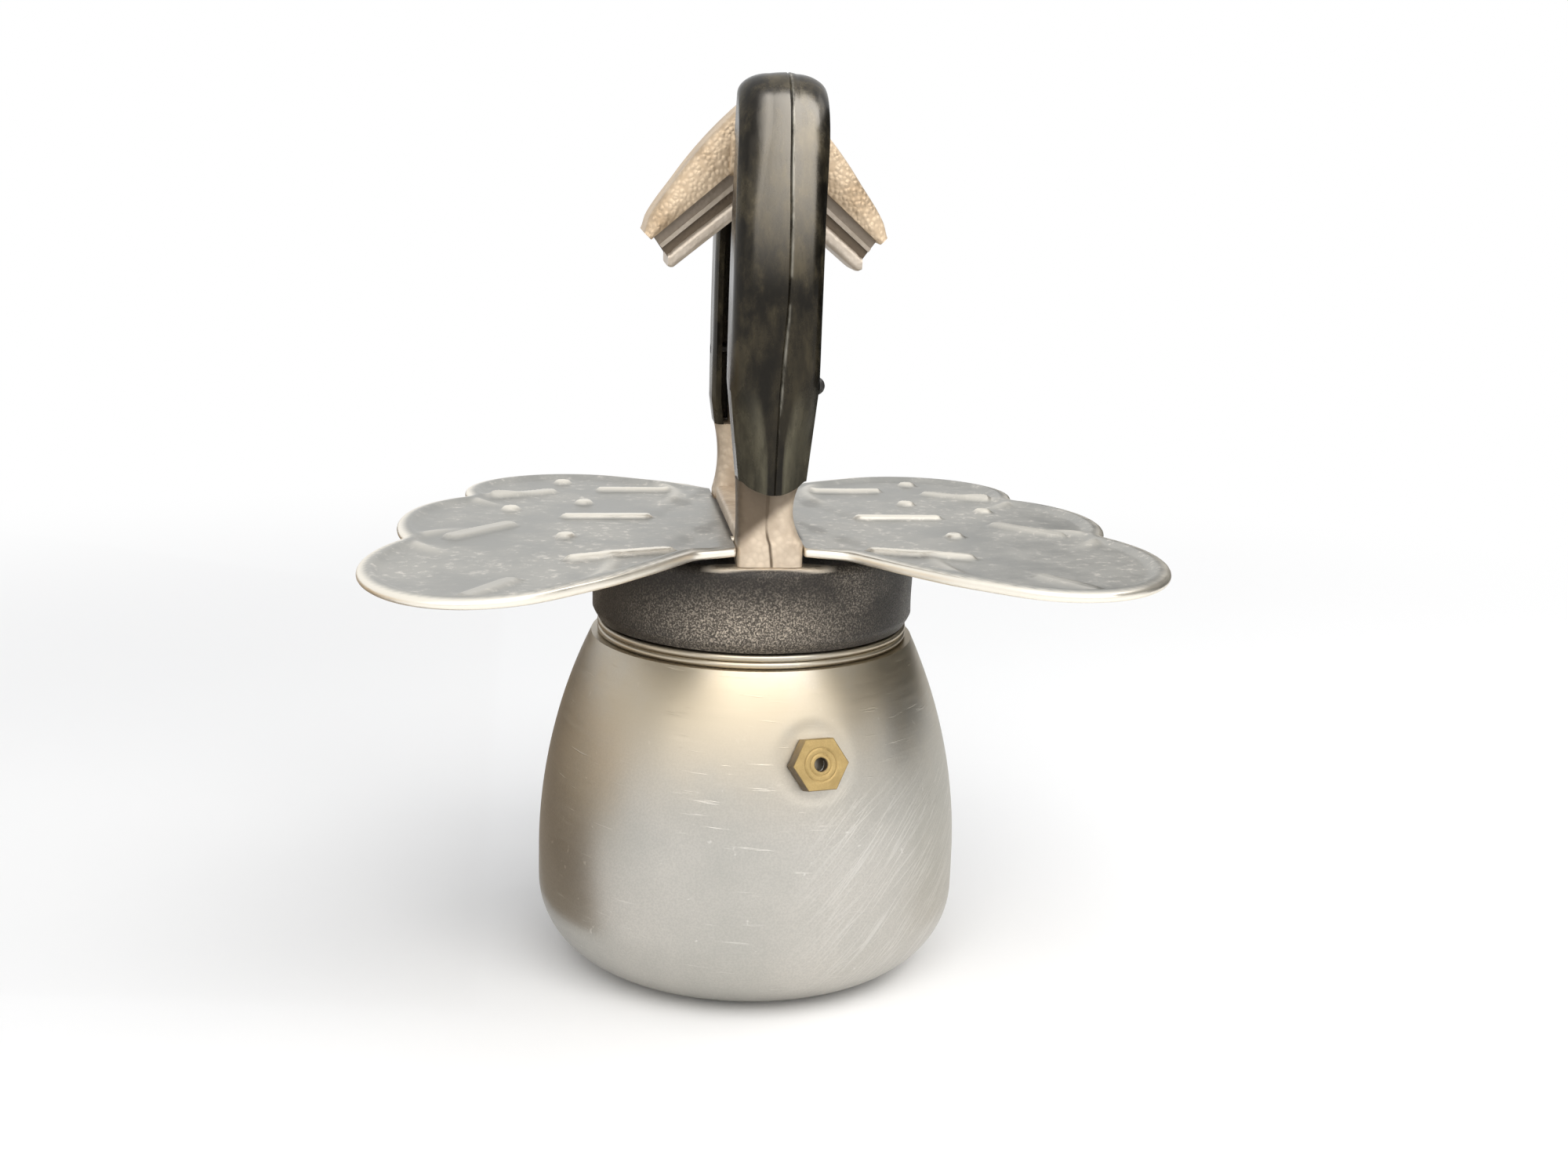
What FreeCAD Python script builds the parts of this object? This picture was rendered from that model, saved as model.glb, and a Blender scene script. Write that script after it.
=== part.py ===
import FreeCAD, Part
import math
import os

# Two-cup moka pot that pours straight into the cups: a bell-shaped boiler, a screw-on collar, a hollow
# loop frame that carries the coffee up to two spouts, and a butterfly-shaped tray for the cups.
# Millimetres, +Z up, the origin at the centre of the boiler's base. The front leg is towards -Y.

V = FreeCAD.Vector
X_AXIS = V(1, 0, 0)
Y_AXIS = V(0, 1, 0)
Z_AXIS = V(0, 0, 1)

# Boiler
boiler_radius = 42.5
boiler_corner = 16.0
boiler_wall = 2.0
base_thickness = 3.0
wall_top = 22.0
shoulder_height = 67.4
shoulder_ledge = 1.2
bead_width = 1.4
bead_count = 2
bead_step = 4.0
neck_core_radius = 27.0
neck_wall = 2.4
neck_chamfer = 0.5

# Screw thread between the boiler's neck and the collar
thread_pitch = 3.0
thread_depth = 1.0
thread_clearance = 0.3
thread_root_width = 1.5
thread_crest_width = 0.7
thread_bite = 0.25

# Collar
collar_height = 16.5
collar_wall = 3.7
collar_gap = 0.3
collar_foot_chamfer = 1.1
collar_foot_chamfer_height = 2.2
collar_top_round = 2.0
web_thickness = 3.0
seat_step = 0.4

# Gasket, filter plate, funnel
gasket_thickness = 3.4
gasket_width = 5.7
gasket_clearance = 0.3
seal_gap = 0.1
plate_thickness = 0.5
plate_drop = 2.0
plate_lip = 1.6
plate_clearance = 0.3
flange_thickness = 0.9
flange_clearance = 0.4
basket_clearance = 0.4
basket_wall = 0.8
basket_depth = 18.0
funnel_cone_height = 10.0
stem_radius = 4.2
stem_wall = 0.8
stem_lift = 3.5
strainer_thickness = 0.8
strainer_clearance = 0.1
hole_radius = 0.6
hole_spacing = 3.6
hole_rings = 4

# Safety valve
valve_height = 51.0
valve_turn = 13.0
valve_face_depth = 0.55
valve_face_radius = 6.2
washer_thickness = 0.6
washer_radius = 5.6
hex_across_flats = 9.0
hex_height = 3.4
hex_chamfer = 0.5
shank_radius = 3.0
shank_length = 8.5
shank_clearance = 0.05
valve_bore = 2.0
vent_radius = 1.1
vent_roof = 1.6
seat_thickness = 1.6
seat_bore = 1.0
poppet_clearance = 0.07
poppet_length = 2.4
poppet_nose = 0.7
spring_wire = 0.4
spring_turns = 4
spring_side_gap = 0.15
ring_groove_width = 0.35
ring_groove_depth = 0.25
ring_groove_shares = (0.45, 0.72)

# Loop frame: offsets are measured inwards from the grip's outer face
loop_half_width = 34.0
loop_top = 176.5
crown_fall = 12.0
front_inner_corner = 1.5
back_inner_corner = 5.5
leg_depth = 8.0
leg_half_width = 3.2
bore_radius = 1.7
bore_inset = 8.5
ridge_half_width = 6.0
ridge_height = 6.0
foot_half_width = 6.2
foot_block_height = 4.4
waist_half_width = 5.0
waist_height = 10.3
foot_crease = 0.6
port_radius = 1.9
port_foot = 17.0
port_top_height = 10.0
port_seal_thickness = 1.2
port_seal_inner = 2.7
port_seal_outer = 3.9
port_seal_clearance = 0.1
frame_screw_radius = 2.0
frame_screw_spacing = 16.0
frame_screw_length = 8.5
frame_screw_head = 3.8
screw_clearance = 0.05

# Cup tray
tray_lift = 1.9
tray_thickness = 1.8
tray_fit = 0.05
tray_foot_gap = 0.15
tab_depth = 2.4
tab_half_length = 20.0
front_lobe = (51.0, -38.0)
front_lobe_size = (21.5, 28.8)
middle_lobe = (48.0, -4.0)
middle_lobe_size = (21.4, 27.0)
back_lobe = (36.0, 27.0)
back_lobe_size = (22.0, 20.7)
front_root = -31.0
front_tangent_turn = 232.0
back_tangent_turn = 124.0
front_bend = (12.5, -32.5)
back_bend = (10.0, 37.0)
back_root = 31.5
emboss_height = 0.6
bar_width = 2.6
dot_radius = 2.2
tray_rivet_radius = 1.0
tray_rivet_spacing = 24.0
tray_rivet_skin = 0.8

# Grip
grip_half_width = 8.2
grip_back_half_width = 7.0
grip_crown_half_width = 5.4
grip_crown_margin = 1.0
grip_wall = 3.4
grip_side_wall = 1.8
grip_rim = 1.0
grip_fit = 0.1
grip_round = 3.8
grip_foot_half_width = 6.3
grip_end_height = 16.3
grip_end_bulge = 2.1
grip_taper_height = 34.0
grip_rivet_height = 33.8
grip_rivet_radius = 1.0
grip_rivet_head = 1.6
grip_rivet_dome = 1.1
grip_boss_radius = 2.2

# Spouts: heights are measured from the crown's underside over the axis, lengths out from the middle
hood_half_depth = 8.0
hood_wall = 2.0
hood_rise = 8.1
hood_shoulder = 9.0
hood_shoulder_round = 1.0
hood_reach = 23.4
hood_tip_drop = 13.8
hood_bulge = 1.3
hood_tip_height = 2.8
hub_half_width = 6.5
hub_drop = 3.1
hood_slope_drop = 16.2
spout_pin_radius = 0.8
spout_pin_bite = 2.6
outlet_radius = 2.0
trough_reach = 18.0
trough_hub_drop = 9.3
trough_tip_drop = 18.7
trough_thickness = 1.9
trough_tip_cut = 1.33
trough_hub_cut = 0.76
trough_inset = 1.2
trough_wall = 1.6
spout_screw_radius = 0.9
spout_screw_offset = 3.9
spout_screw_bite = 2.5
spout_screw_head = 1.6
spout_column_radius = 1.7

# Heights and radii that follow from the sizes above
bead_outer = neck_core_radius + bead_step
shoulder_top_radius = bead_outer + shoulder_ledge
bead_top = shoulder_height + bead_count * bead_width
collar_bottom = bead_top + collar_gap
collar_top = collar_bottom + collar_height
collar_bore = neck_core_radius + thread_depth + thread_clearance
collar_radius = collar_bore + collar_wall
web_under = collar_top - web_thickness
gasket_bottom = web_under - gasket_thickness
flange_top = gasket_bottom - seal_gap
neck_top = flange_top - flange_thickness
neck_bore = neck_core_radius - neck_wall
basket_radius = neck_bore - basket_clearance
gasket_inner = neck_core_radius - gasket_clearance - gasket_width
ridge_top = collar_top + ridge_height
tray_bottom = collar_top + tray_lift
tray_top = tray_bottom + tray_thickness
leg_inset = grip_wall + grip_fit
leg_back = leg_inset + leg_depth
grip_depth = leg_back + grip_rim
rivet_inset = leg_inset + (bore_inset - bore_radius - leg_inset) / 2
front_corner = grip_depth + front_inner_corner
back_corner = grip_depth + back_inner_corner
fall_sine = math.sin(math.radians(crown_fall))
fall_cosine = math.cos(math.radians(crown_fall))
front_centre = (front_corner - loop_half_width, loop_top - front_corner)
back_centre_y = loop_half_width - back_corner
back_fall = front_corner - back_corner - (back_centre_y - front_centre[0]) * fall_sine
back_centre = (back_centre_y, front_centre[1] + back_fall / fall_cosine)


def crown_height(inset, y):
    """Height of the crown's sloping line at an inset from the loop's outer face."""
    return front_centre[1] + (front_corner - inset - (y - front_centre[0]) * fall_sine) / fall_cosine


crown_under = crown_height(leg_back, 0.0)
grip_end = collar_top + grip_end_height
grip_rivet_z = collar_top + grip_rivet_height


def polygon(points):
    """Closed wire through the points."""
    return Part.makePolygon(list(points) + [points[0]])


def arc(start, middle, end):
    """Edge along the circle through three points."""
    return Part.Arc(start, middle, end).toShape()


def line(start, end):
    """Straight edge."""
    return Part.LineSegment(start, end).toShape()


def turned(edges):
    """Solid swept by a closed outline in the XZ plane as it turns once round the Z axis."""
    return Part.Face(Part.Wire(edges)).revolve(V(0, 0, 0), Z_AXIS, 360)


def turned_polygon(profile):
    """Turned solid from (radius, height) corners."""
    corners = [V(r, 0, z) for r, z in profile]
    return Part.Face(polygon(corners)).revolve(V(0, 0, 0), Z_AXIS, 360)


def ring(inner, outer, low, high):
    """Flat ring between two heights."""
    return turned_polygon([(inner, low), (outer, low), (outer, high), (inner, high)])


def rod(start, direction, radius, length):
    """Round bar from a point along a direction."""
    return Part.makeCylinder(radius, length, start, direction)


def block(low, high):
    """Box between two corners."""
    size = high - low
    return Part.makeBox(size.x, size.y, size.z, low)


def slab_xz(points, y_low, y_high):
    """Prism with an outline of (x, z) corners, carried along Y."""
    face = Part.Face(polygon([V(x, y_low, z) for x, z in points]))
    return face.extrude(V(0, y_high - y_low, 0))


def joined(shapes):
    """One solid from touching or crossing shapes."""
    first = shapes[0]
    return first.fuse(shapes[1:]).removeSplitter()


def save(name, shape):
    """Write one piece to its own file, after a check that it is sound."""
    if not shape.isValid():
        raise ValueError(name + " is not a valid shape")
    shape.exportStep("parts/" + name + ".step")
    print(name, "solids", len(shape.Solids), "volume", round(shape.Volume, 1))


def helix_ridge(root_radius, crest_radius, bottom, height, start_angle):
    """Screw ridge: a tapered tooth carried along a right-hand helix, its root sunk by the bite."""
    inward = 1 if crest_radius > root_radius else -1
    sunk = root_radius - inward * thread_bite
    half_root = thread_root_width / 2
    half_crest = thread_crest_width / 2
    tooth = polygon([V(sunk, 0, -half_root), V(crest_radius, 0, -half_crest),
                     V(crest_radius, 0, half_crest), V(sunk, 0, half_root)])
    path = Part.makeHelix(thread_pitch, height, root_radius)
    ridge = Part.Wire(path).makePipeShell([tooth], True, True)
    ridge.rotate(V(0, 0, 0), Z_AXIS, start_angle)
    ridge.translate(V(0, 0, bottom))
    return ridge


def perforations(radius_limit, low, high):
    """Small round holes on rings of six, twelve and so on round a middle hole."""
    length = high - low
    holes = [rod(V(0, 0, low), Z_AXIS, hole_radius, length)]
    for ring_number in range(1, hole_rings + 1):
        ring_radius = ring_number * hole_spacing
        if ring_radius + hole_radius > radius_limit:
            break
        count = 6 * ring_number
        for step in range(count):
            angle = 2 * math.pi * step / count
            foot = V(ring_radius * math.cos(angle), ring_radius * math.sin(angle), low)
            holes.append(rod(foot, Z_AXIS, hole_radius, length))
    return Part.makeCompound(holes)


# Boiler

shoulder_drop = boiler_radius - shoulder_top_radius
shoulder_span = shoulder_height - wall_top
shoulder_arc = (shoulder_drop ** 2 + shoulder_span ** 2) / (2 * shoulder_drop)


def boiler_radius_at(height):
    """Outer radius of the shoulder at a height above the straight wall."""
    rise = height - wall_top
    return boiler_radius - shoulder_arc + math.sqrt(shoulder_arc ** 2 - rise ** 2)


def boiler_profile(shrink, floor, top):
    """Edges of the wall from the floor's centre up the corner, wall and shoulder to a height."""
    corner = boiler_corner - shrink
    wall = boiler_radius - shrink
    corner_centre = V(boiler_radius - boiler_corner, 0, boiler_corner)
    low_turn = math.asin(min(1.0, (boiler_corner - floor) / corner))
    low = corner_centre + V(corner * math.cos(low_turn), 0, -corner * math.sin(low_turn))
    half_turn = low_turn / 2
    middle = corner_centre + V(corner * math.cos(half_turn), 0, -corner * math.sin(half_turn))
    shoulder_centre = boiler_radius - shoulder_arc
    reach = shoulder_arc - shrink
    top_turn = math.asin((top - wall_top) / reach)
    end = V(shoulder_centre + reach * math.cos(top_turn), 0, top)
    half_top = top_turn / 2
    between = V(shoulder_centre + reach * math.cos(half_top), 0, wall_top + reach * math.sin(half_top))
    edges = [line(V(0, 0, floor), low),
             arc(low, middle, V(wall, 0, boiler_corner)),
             line(V(wall, 0, boiler_corner), V(wall, 0, wall_top)),
             arc(V(wall, 0, wall_top), between, end)]
    return edges, end


def make_boiler():
    """Bell with a rounded base, bead rings and a threaded neck, hollow and holed for the valve."""
    outside, shoulder_end = boiler_profile(0.0, 0.0, shoulder_height)
    bead_half = bead_width / 2
    bead_middle = bead_outer - bead_half
    last = V(bead_middle, 0, shoulder_height)
    outside.append(line(shoulder_end, last))
    for number in range(bead_count):
        middle_height = shoulder_height + (number + 0.5) * bead_width
        crest = V(bead_outer, 0, middle_height)
        end = V(bead_middle, 0, middle_height + bead_half)
        outside.append(arc(last, crest, end))
        last = end
    outside += [line(last, V(0, 0, bead_top)), line(V(0, 0, bead_top), V(0, 0, 0))]

    ceiling = shoulder_height - boiler_wall
    inside, inner_end = boiler_profile(boiler_wall, base_thickness, ceiling)
    bore_start = bead_top - bead_width
    cavity_corners = [inner_end, V(neck_bore, 0, bore_start), V(0, 0, bore_start), V(0, 0, base_thickness)]
    inside += [line(a, b) for a, b in zip(cavity_corners, cavity_corners[1:])]
    bell = turned(outside).cut(turned(inside))
    face_cut = Part.makeCylinder(valve_face_radius, valve_face_radius, V(0, 0, -valve_face_depth), Z_AXIS)
    hole_length = 4 * boiler_wall
    shank_hole = rod(V(0, 0, -hole_length), Z_AXIS, shank_radius + shank_clearance, 2 * hole_length)
    bell = bell.cut([to_valve(face_cut), to_valve(shank_hole)])

    neck = turned_polygon([(0, bead_top), (neck_core_radius, bead_top),
                           (neck_core_radius, neck_top - neck_chamfer),
                           (neck_core_radius - neck_chamfer, neck_top), (0, neck_top)])
    ridge_bottom = collar_bottom + thread_pitch / 2
    ridge_height_up = neck_top - neck_chamfer - thread_root_width / 2 - ridge_bottom
    ridge = helix_ridge(neck_core_radius, neck_core_radius + thread_depth, ridge_bottom, ridge_height_up, 0)
    bore = rod(V(0, 0, bore_start), Z_AXIS, neck_bore, neck_top)
    return joined([bell, joined([neck, ridge])]).cut(bore)


# Safety valve, drawn along +Z with z = 0 on the boiler's surface, then turned to its place

valve_radius_here = boiler_radius_at(valve_height)
valve_lean = math.degrees(math.asin((valve_height - wall_top) / shoulder_arc))


def to_valve(shape):
    """Move a piece drawn along +Z to the valve's place, square to the boiler's surface."""
    placed = shape.copy()
    placed.rotate(V(0, 0, 0), Y_AXIS, 90 - valve_lean)
    placed.translate(V(valve_radius_here, 0, valve_height))
    placed.rotate(V(0, 0, 0), Z_AXIS, valve_turn - 90)
    return placed


washer_bottom = -valve_face_depth
hex_bottom = washer_bottom + washer_thickness
hex_top = hex_bottom + hex_height
shank_end = washer_bottom - shank_length
bore_top = hex_top - vent_roof
seat_top = shank_end + seat_thickness
poppet_radius = valve_bore - poppet_clearance
poppet_bottom = seat_top
poppet_top = poppet_bottom + poppet_length


def make_valve_body():
    """Hexagon with a turned face and a hollow shank, vented through the middle."""
    corner = hex_across_flats / math.sqrt(3)
    turns = [math.radians(60 * k) for k in range(6)]
    corners = [V(corner * math.cos(turn), corner * math.sin(turn), hex_bottom) for turn in turns]
    head = Part.Face(polygon(corners)).extrude(V(0, 0, hex_height))
    edge = corner - hex_across_flats / 2 + hex_chamfer
    crown = turned_polygon([(0, hex_bottom), (corner + edge, hex_bottom),
                            (corner + edge, hex_top - 2 * edge), (corner - edge, hex_top), (0, hex_top)])
    head = head.common(crown)
    for share in ring_groove_shares:
        middle = share * hex_across_flats / 2
        groove = ring(middle - ring_groove_width / 2, middle + ring_groove_width / 2,
                      hex_top - ring_groove_depth, hex_top + ring_groove_depth)
        head = head.cut(groove)
    shank = rod(V(0, 0, shank_end), Z_AXIS, shank_radius, hex_bottom - shank_end)
    body = joined([head, shank])
    bore = rod(V(0, 0, shank_end), Z_AXIS, valve_bore, bore_top - shank_end)
    vent = rod(V(0, 0, bore_top), Z_AXIS, vent_radius, 2 * vent_roof)
    return to_valve(body.cut([bore, vent]))


def make_valve_washer():
    """Soft sealing ring under the hexagon."""
    return to_valve(ring(shank_radius + shank_clearance, washer_radius, washer_bottom, hex_bottom))


def make_valve_seat():
    """Ring pressed into the shank's inner end, coned where the poppet closes it."""
    cone = seat_bore + poppet_nose
    profile = [(seat_bore, shank_end), (valve_bore, shank_end), (valve_bore, seat_top), (cone, seat_top),
               (seat_bore, seat_top - poppet_nose)]
    return to_valve(turned_polygon(profile))


def make_valve_poppet():
    """Small piston with a coned nose that the spring holds on the seat."""
    nose_gap = poppet_clearance
    cone = seat_bore + poppet_nose - nose_gap
    tip = seat_bore - nose_gap
    base = poppet_bottom + nose_gap
    spigot = valve_bore - 2 * spring_side_gap - 2 * spring_wire
    profile = [(0, base - poppet_nose), (tip, base - poppet_nose), (cone, base), (poppet_radius, base),
               (poppet_radius, poppet_top), (spigot, poppet_top), (spigot, poppet_top + spring_wire),
               (0, poppet_top + spring_wire)]
    return to_valve(turned_polygon(profile))


def helix_biarcs(radius, pitch, turns, bottom):
    """Wire along a helix, two tangent arcs to each quarter turn."""
    climb = pitch / (2 * math.pi)
    edges = []
    count = 4 * turns
    for step in range(count):
        ends = []
        for angle in (step * math.pi / 2, (step + 1) * math.pi / 2):
            point = V(radius * math.cos(angle), radius * math.sin(angle), bottom + climb * angle)
            heading = V(-radius * math.sin(angle), radius * math.cos(angle), climb).normalize()
            ends.append((point, heading))
        (start, start_heading), (end, end_heading) = ends
        chord = end - start
        along = chord.dot(start_heading + end_heading)
        bend = 2 * (1 - start_heading.dot(end_heading))
        reach = (-along + math.sqrt(along ** 2 + bend * chord.dot(chord))) / bend
        start_knee = start + start_heading * reach
        end_knee = end - end_heading * reach
        middle = (start_knee + end_knee) * 0.5
        for first, knee, last in ((start, start_knee, middle), (middle, end_knee, end)):
            half_chord = (last - first).Length / 2
            cosine = half_chord / reach
            centre = (first + last) * 0.5
            edges.append(arc(first, centre + (knee - centre) * (cosine / (1 + cosine)), last))
    return Part.Wire(edges)


def make_valve_spring():
    """Coil of round wire between the poppet and the roof of the valve's bore."""
    wire_radius = spring_wire / 2
    coil_radius = valve_bore - spring_side_gap - wire_radius
    bottom = poppet_top + wire_radius
    top = bore_top - wire_radius
    pitch = (top - bottom) / spring_turns
    path = helix_biarcs(coil_radius, pitch, spring_turns, bottom)
    start = path.Edges[0].Vertexes[0].Point
    heading = path.Edges[0].tangentAt(path.Edges[0].FirstParameter)
    section = Part.Wire(Part.makeCircle(wire_radius, start, heading))
    print("valve spring gap between turns", round(pitch - spring_wire, 2))
    return to_valve(path.makePipeShell([section], True, False))


# Funnel, strainer, gasket and filter plate

def make_funnel():
    """Coffee basket with a flange on the neck's rim, a cone and a stem down to the water."""
    flange_radius = neck_core_radius - flange_clearance
    basket_bottom = flange_top - basket_depth
    cone_bottom = basket_bottom - funnel_cone_height
    stem_bottom = base_thickness + stem_lift
    stem_bore = stem_radius - stem_wall
    basket_bore = basket_radius - basket_wall
    profile = [(stem_radius, stem_bottom), (stem_radius, cone_bottom), (basket_radius, basket_bottom),
               (basket_radius, neck_top), (flange_radius, neck_top), (flange_radius, flange_top),
               (basket_bore, flange_top), (basket_bore, basket_bottom + strainer_thickness),
               (basket_bore - basket_wall, basket_bottom + strainer_thickness),
               (stem_bore, cone_bottom + basket_wall), (stem_bore, stem_bottom)]
    return turned_polygon(profile)


strainer_bottom = flange_top - basket_depth + strainer_thickness
strainer_radius = basket_radius - basket_wall - strainer_clearance


def make_funnel_strainer():
    """Perforated plate on the basket's ledge."""
    plate = ring(0, strainer_radius, strainer_bottom, strainer_bottom + strainer_thickness)
    return plate.cut(perforations(strainer_radius, strainer_bottom, strainer_bottom + strainer_thickness))


plate_radius = gasket_inner - plate_clearance
plate_bottom = web_under - plate_drop


def make_gasket():
    """Rubber ring with a rebate that holds the filter plate's lip."""
    outer = neck_core_radius - gasket_clearance
    top = web_under - seal_gap / 2
    rebate = gasket_inner + plate_lip
    rebate_bottom = web_under - plate_thickness - seal_gap
    return turned_polygon([(gasket_inner, gasket_bottom), (outer, gasket_bottom), (outer, top),
                           (rebate, top), (rebate, rebate_bottom), (gasket_inner, rebate_bottom)])


def make_filter_plate():
    """Shallow perforated dish with a lip that lies in the gasket's rebate."""
    top = web_under - seal_gap / 2
    lip = gasket_inner + plate_lip - plate_clearance
    wall = plate_radius - plate_thickness
    under_lip = top - plate_thickness
    floor = plate_bottom + plate_thickness
    dish = turned_polygon([(0, plate_bottom), (plate_radius, plate_bottom), (plate_radius, under_lip),
                           (lip, under_lip), (lip, top), (wall, top), (wall, floor), (0, floor)])
    return dish.cut(perforations(wall, plate_bottom, floor))


# Collar

port_rise = port_top_height + web_thickness
bore_offset = loop_half_width - bore_inset


def port_drill(side, radius):
    """Slanted hole from the chamber under the web into one leg's bore."""
    start = V(0, side * port_foot, web_under)
    end = V(0, side * bore_offset, web_under + port_rise)
    direction = (end - start).normalize()
    lead = 2 * radius
    return rod(start - direction * lead, direction, radius, (end - start).Length + lead)


def port_crossing():
    """Distance from the axis at which the ports cross the collar's top face."""
    return port_foot + (bore_offset - port_foot) * web_thickness / port_rise


def screw_places():
    """Feet of the two frame screws, in the web's underside."""
    return [V(0, side * frame_screw_spacing / 2, web_under) for side in (-1, 1)]


def make_collar():
    """Ring with a screwed bore, a seat for the gasket and a web with the coffee ports."""
    foot_radius = collar_radius - collar_foot_chamfer
    land = collar_radius - collar_top_round
    round_bottom = collar_top - collar_top_round
    shift = collar_top_round * (1 - math.sqrt(0.5))
    seat_bottom = neck_top + seat_step
    chamfer_top = collar_bottom + collar_foot_chamfer_height
    corners = [V(0, 0, collar_top), V(0, 0, web_under), V(neck_core_radius, 0, web_under),
               V(neck_core_radius, 0, seat_bottom), V(collar_bore, 0, seat_bottom),
               V(collar_bore, 0, collar_bottom), V(foot_radius, 0, collar_bottom),
               V(collar_radius, 0, chamfer_top), V(collar_radius, 0, round_bottom)]
    edges = [line(a, b) for a, b in zip(corners, corners[1:])]
    edges.append(arc(V(collar_radius, 0, round_bottom), V(collar_radius - shift, 0, collar_top - shift),
                     V(land, 0, collar_top)))
    edges.append(line(V(land, 0, collar_top), V(0, 0, collar_top)))
    ridge_bottom = collar_bottom + thread_pitch / 2
    ridge_rise = seat_bottom - thread_root_width - ridge_bottom
    ridge = helix_ridge(collar_bore, neck_core_radius + thread_clearance, ridge_bottom, ridge_rise, 180)
    body = joined([turned(edges), ridge])
    cuts = [port_drill(side, port_radius) for side in (-1, 1)]
    hole = frame_screw_radius + screw_clearance
    head = frame_screw_head + screw_clearance
    for place in screw_places():
        cuts.append(rod(place, Z_AXIS, hole, web_thickness))
        cuts.append(Part.makeCone(head, hole, head - hole, place, Z_AXIS))
    return body.cut(cuts)


def make_frame_screws():
    """Two countersunk screws that pull the ridge down on the collar."""
    screws = []
    for place in screw_places():
        cone_height = frame_screw_head - frame_screw_radius
        head = Part.makeCone(frame_screw_head, frame_screw_radius, cone_height, place, Z_AXIS)
        shank = rod(place, Z_AXIS, frame_screw_radius, frame_screw_length)
        screws.append(joined([head, shank]))
    return Part.makeCompound(screws)


def make_port_seals():
    """Two rings round the ports, in pockets of the ridge's underside."""
    seals = []
    for side in (-1, 1):
        seal = ring(port_seal_inner, port_seal_outer, collar_top, collar_top + port_seal_thickness)
        seal.translate(V(0, side * port_crossing(), 0))
        seals.append(seal)
    return Part.makeCompound(seals)


# Loop frame

def corner_point(centre, radius, degrees):
    """Point of a corner's arc, at an angle from +Y towards +Z."""
    turn = math.radians(degrees)
    return V(0, centre[0] + radius * math.cos(turn), centre[1] + radius * math.sin(turn))


def loop_side(inset, bottom):
    """Edges of the loop's outline at an inset from its outer face, from the front foot to the back one."""
    crown_turn = 90 - crown_fall
    front = [corner_point(front_centre, front_corner - inset, turn)
             for turn in (180, (180 + crown_turn) / 2, crown_turn)]
    back = [corner_point(back_centre, back_corner - inset, turn) for turn in (crown_turn, crown_turn / 2, 0)]
    start = V(0, inset - loop_half_width, bottom)
    end = V(0, loop_half_width - inset, bottom)
    edges = [line(start, front[0]), arc(*front), line(front[2], back[0]), arc(*back), line(back[2], end)]
    return edges, start, end


def loop_band(outer, inner, bottom, half_width):
    """Arch between two insets, as wide as two half widths along X."""
    outside, outer_front, outer_back = loop_side(outer, bottom)
    inside, inner_front, inner_back = loop_side(inner, bottom)
    closing = [line(outer_back, inner_back), line(inner_front, outer_front)]
    edges = Part.sortEdges(outside + inside + closing)[0]
    band = Part.Face(Part.Wire(edges)).extrude(V(2 * half_width, 0, 0))
    band.translate(V(-half_width, 0, 0))
    return band


def foot_outline():
    """Half of the foot's front outline: a block, a waist and a shoulder under the grip."""
    block_top = collar_top + foot_block_height
    waist = collar_top + waist_height
    shoulder = grip_end - grip_fit
    return block_top, waist, shoulder


def make_foot(side):
    """Flared foot of one leg, with a crease down its outer face."""
    block_top, waist, shoulder = foot_outline()
    y_outer = loop_half_width - leg_inset
    y_inner = loop_half_width - leg_back
    shoulder_half = grip_foot_half_width - grip_fit
    sides = []
    for sign in (-1, 1):
        low = V(sign * foot_half_width, 0, collar_top)
        corner = V(sign * foot_half_width, 0, block_top)
        narrow = V(sign * waist_half_width, 0, waist)
        top = V(sign * shoulder_half, 0, shoulder)
        sides.append((low, corner, narrow, top))
    (low_a, corner_a, narrow_a, top_a), (low_b, corner_b, narrow_b, top_b) = sides
    edges = [line(low_a, corner_a), arc(corner_a, narrow_a, top_a), line(top_a, top_b),
             arc(top_b, narrow_b, corner_b), line(corner_b, low_b), line(low_b, low_a)]
    foot = Part.Face(Part.Wire(edges)).extrude(V(0, y_outer - y_inner, 0))
    foot.translate(V(0, y_inner, 0))
    groove = polygon([V(-foot_crease, y_outer, collar_top), V(foot_crease, y_outer, collar_top),
                      V(0, y_outer - foot_crease, collar_top)])
    crease = Part.Face(groove).extrude(V(0, 0, shoulder - collar_top))
    foot = foot.cut(crease)
    if side < 0:
        foot.rotate(V(0, 0, 0), Z_AXIS, 180)
    return foot


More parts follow.
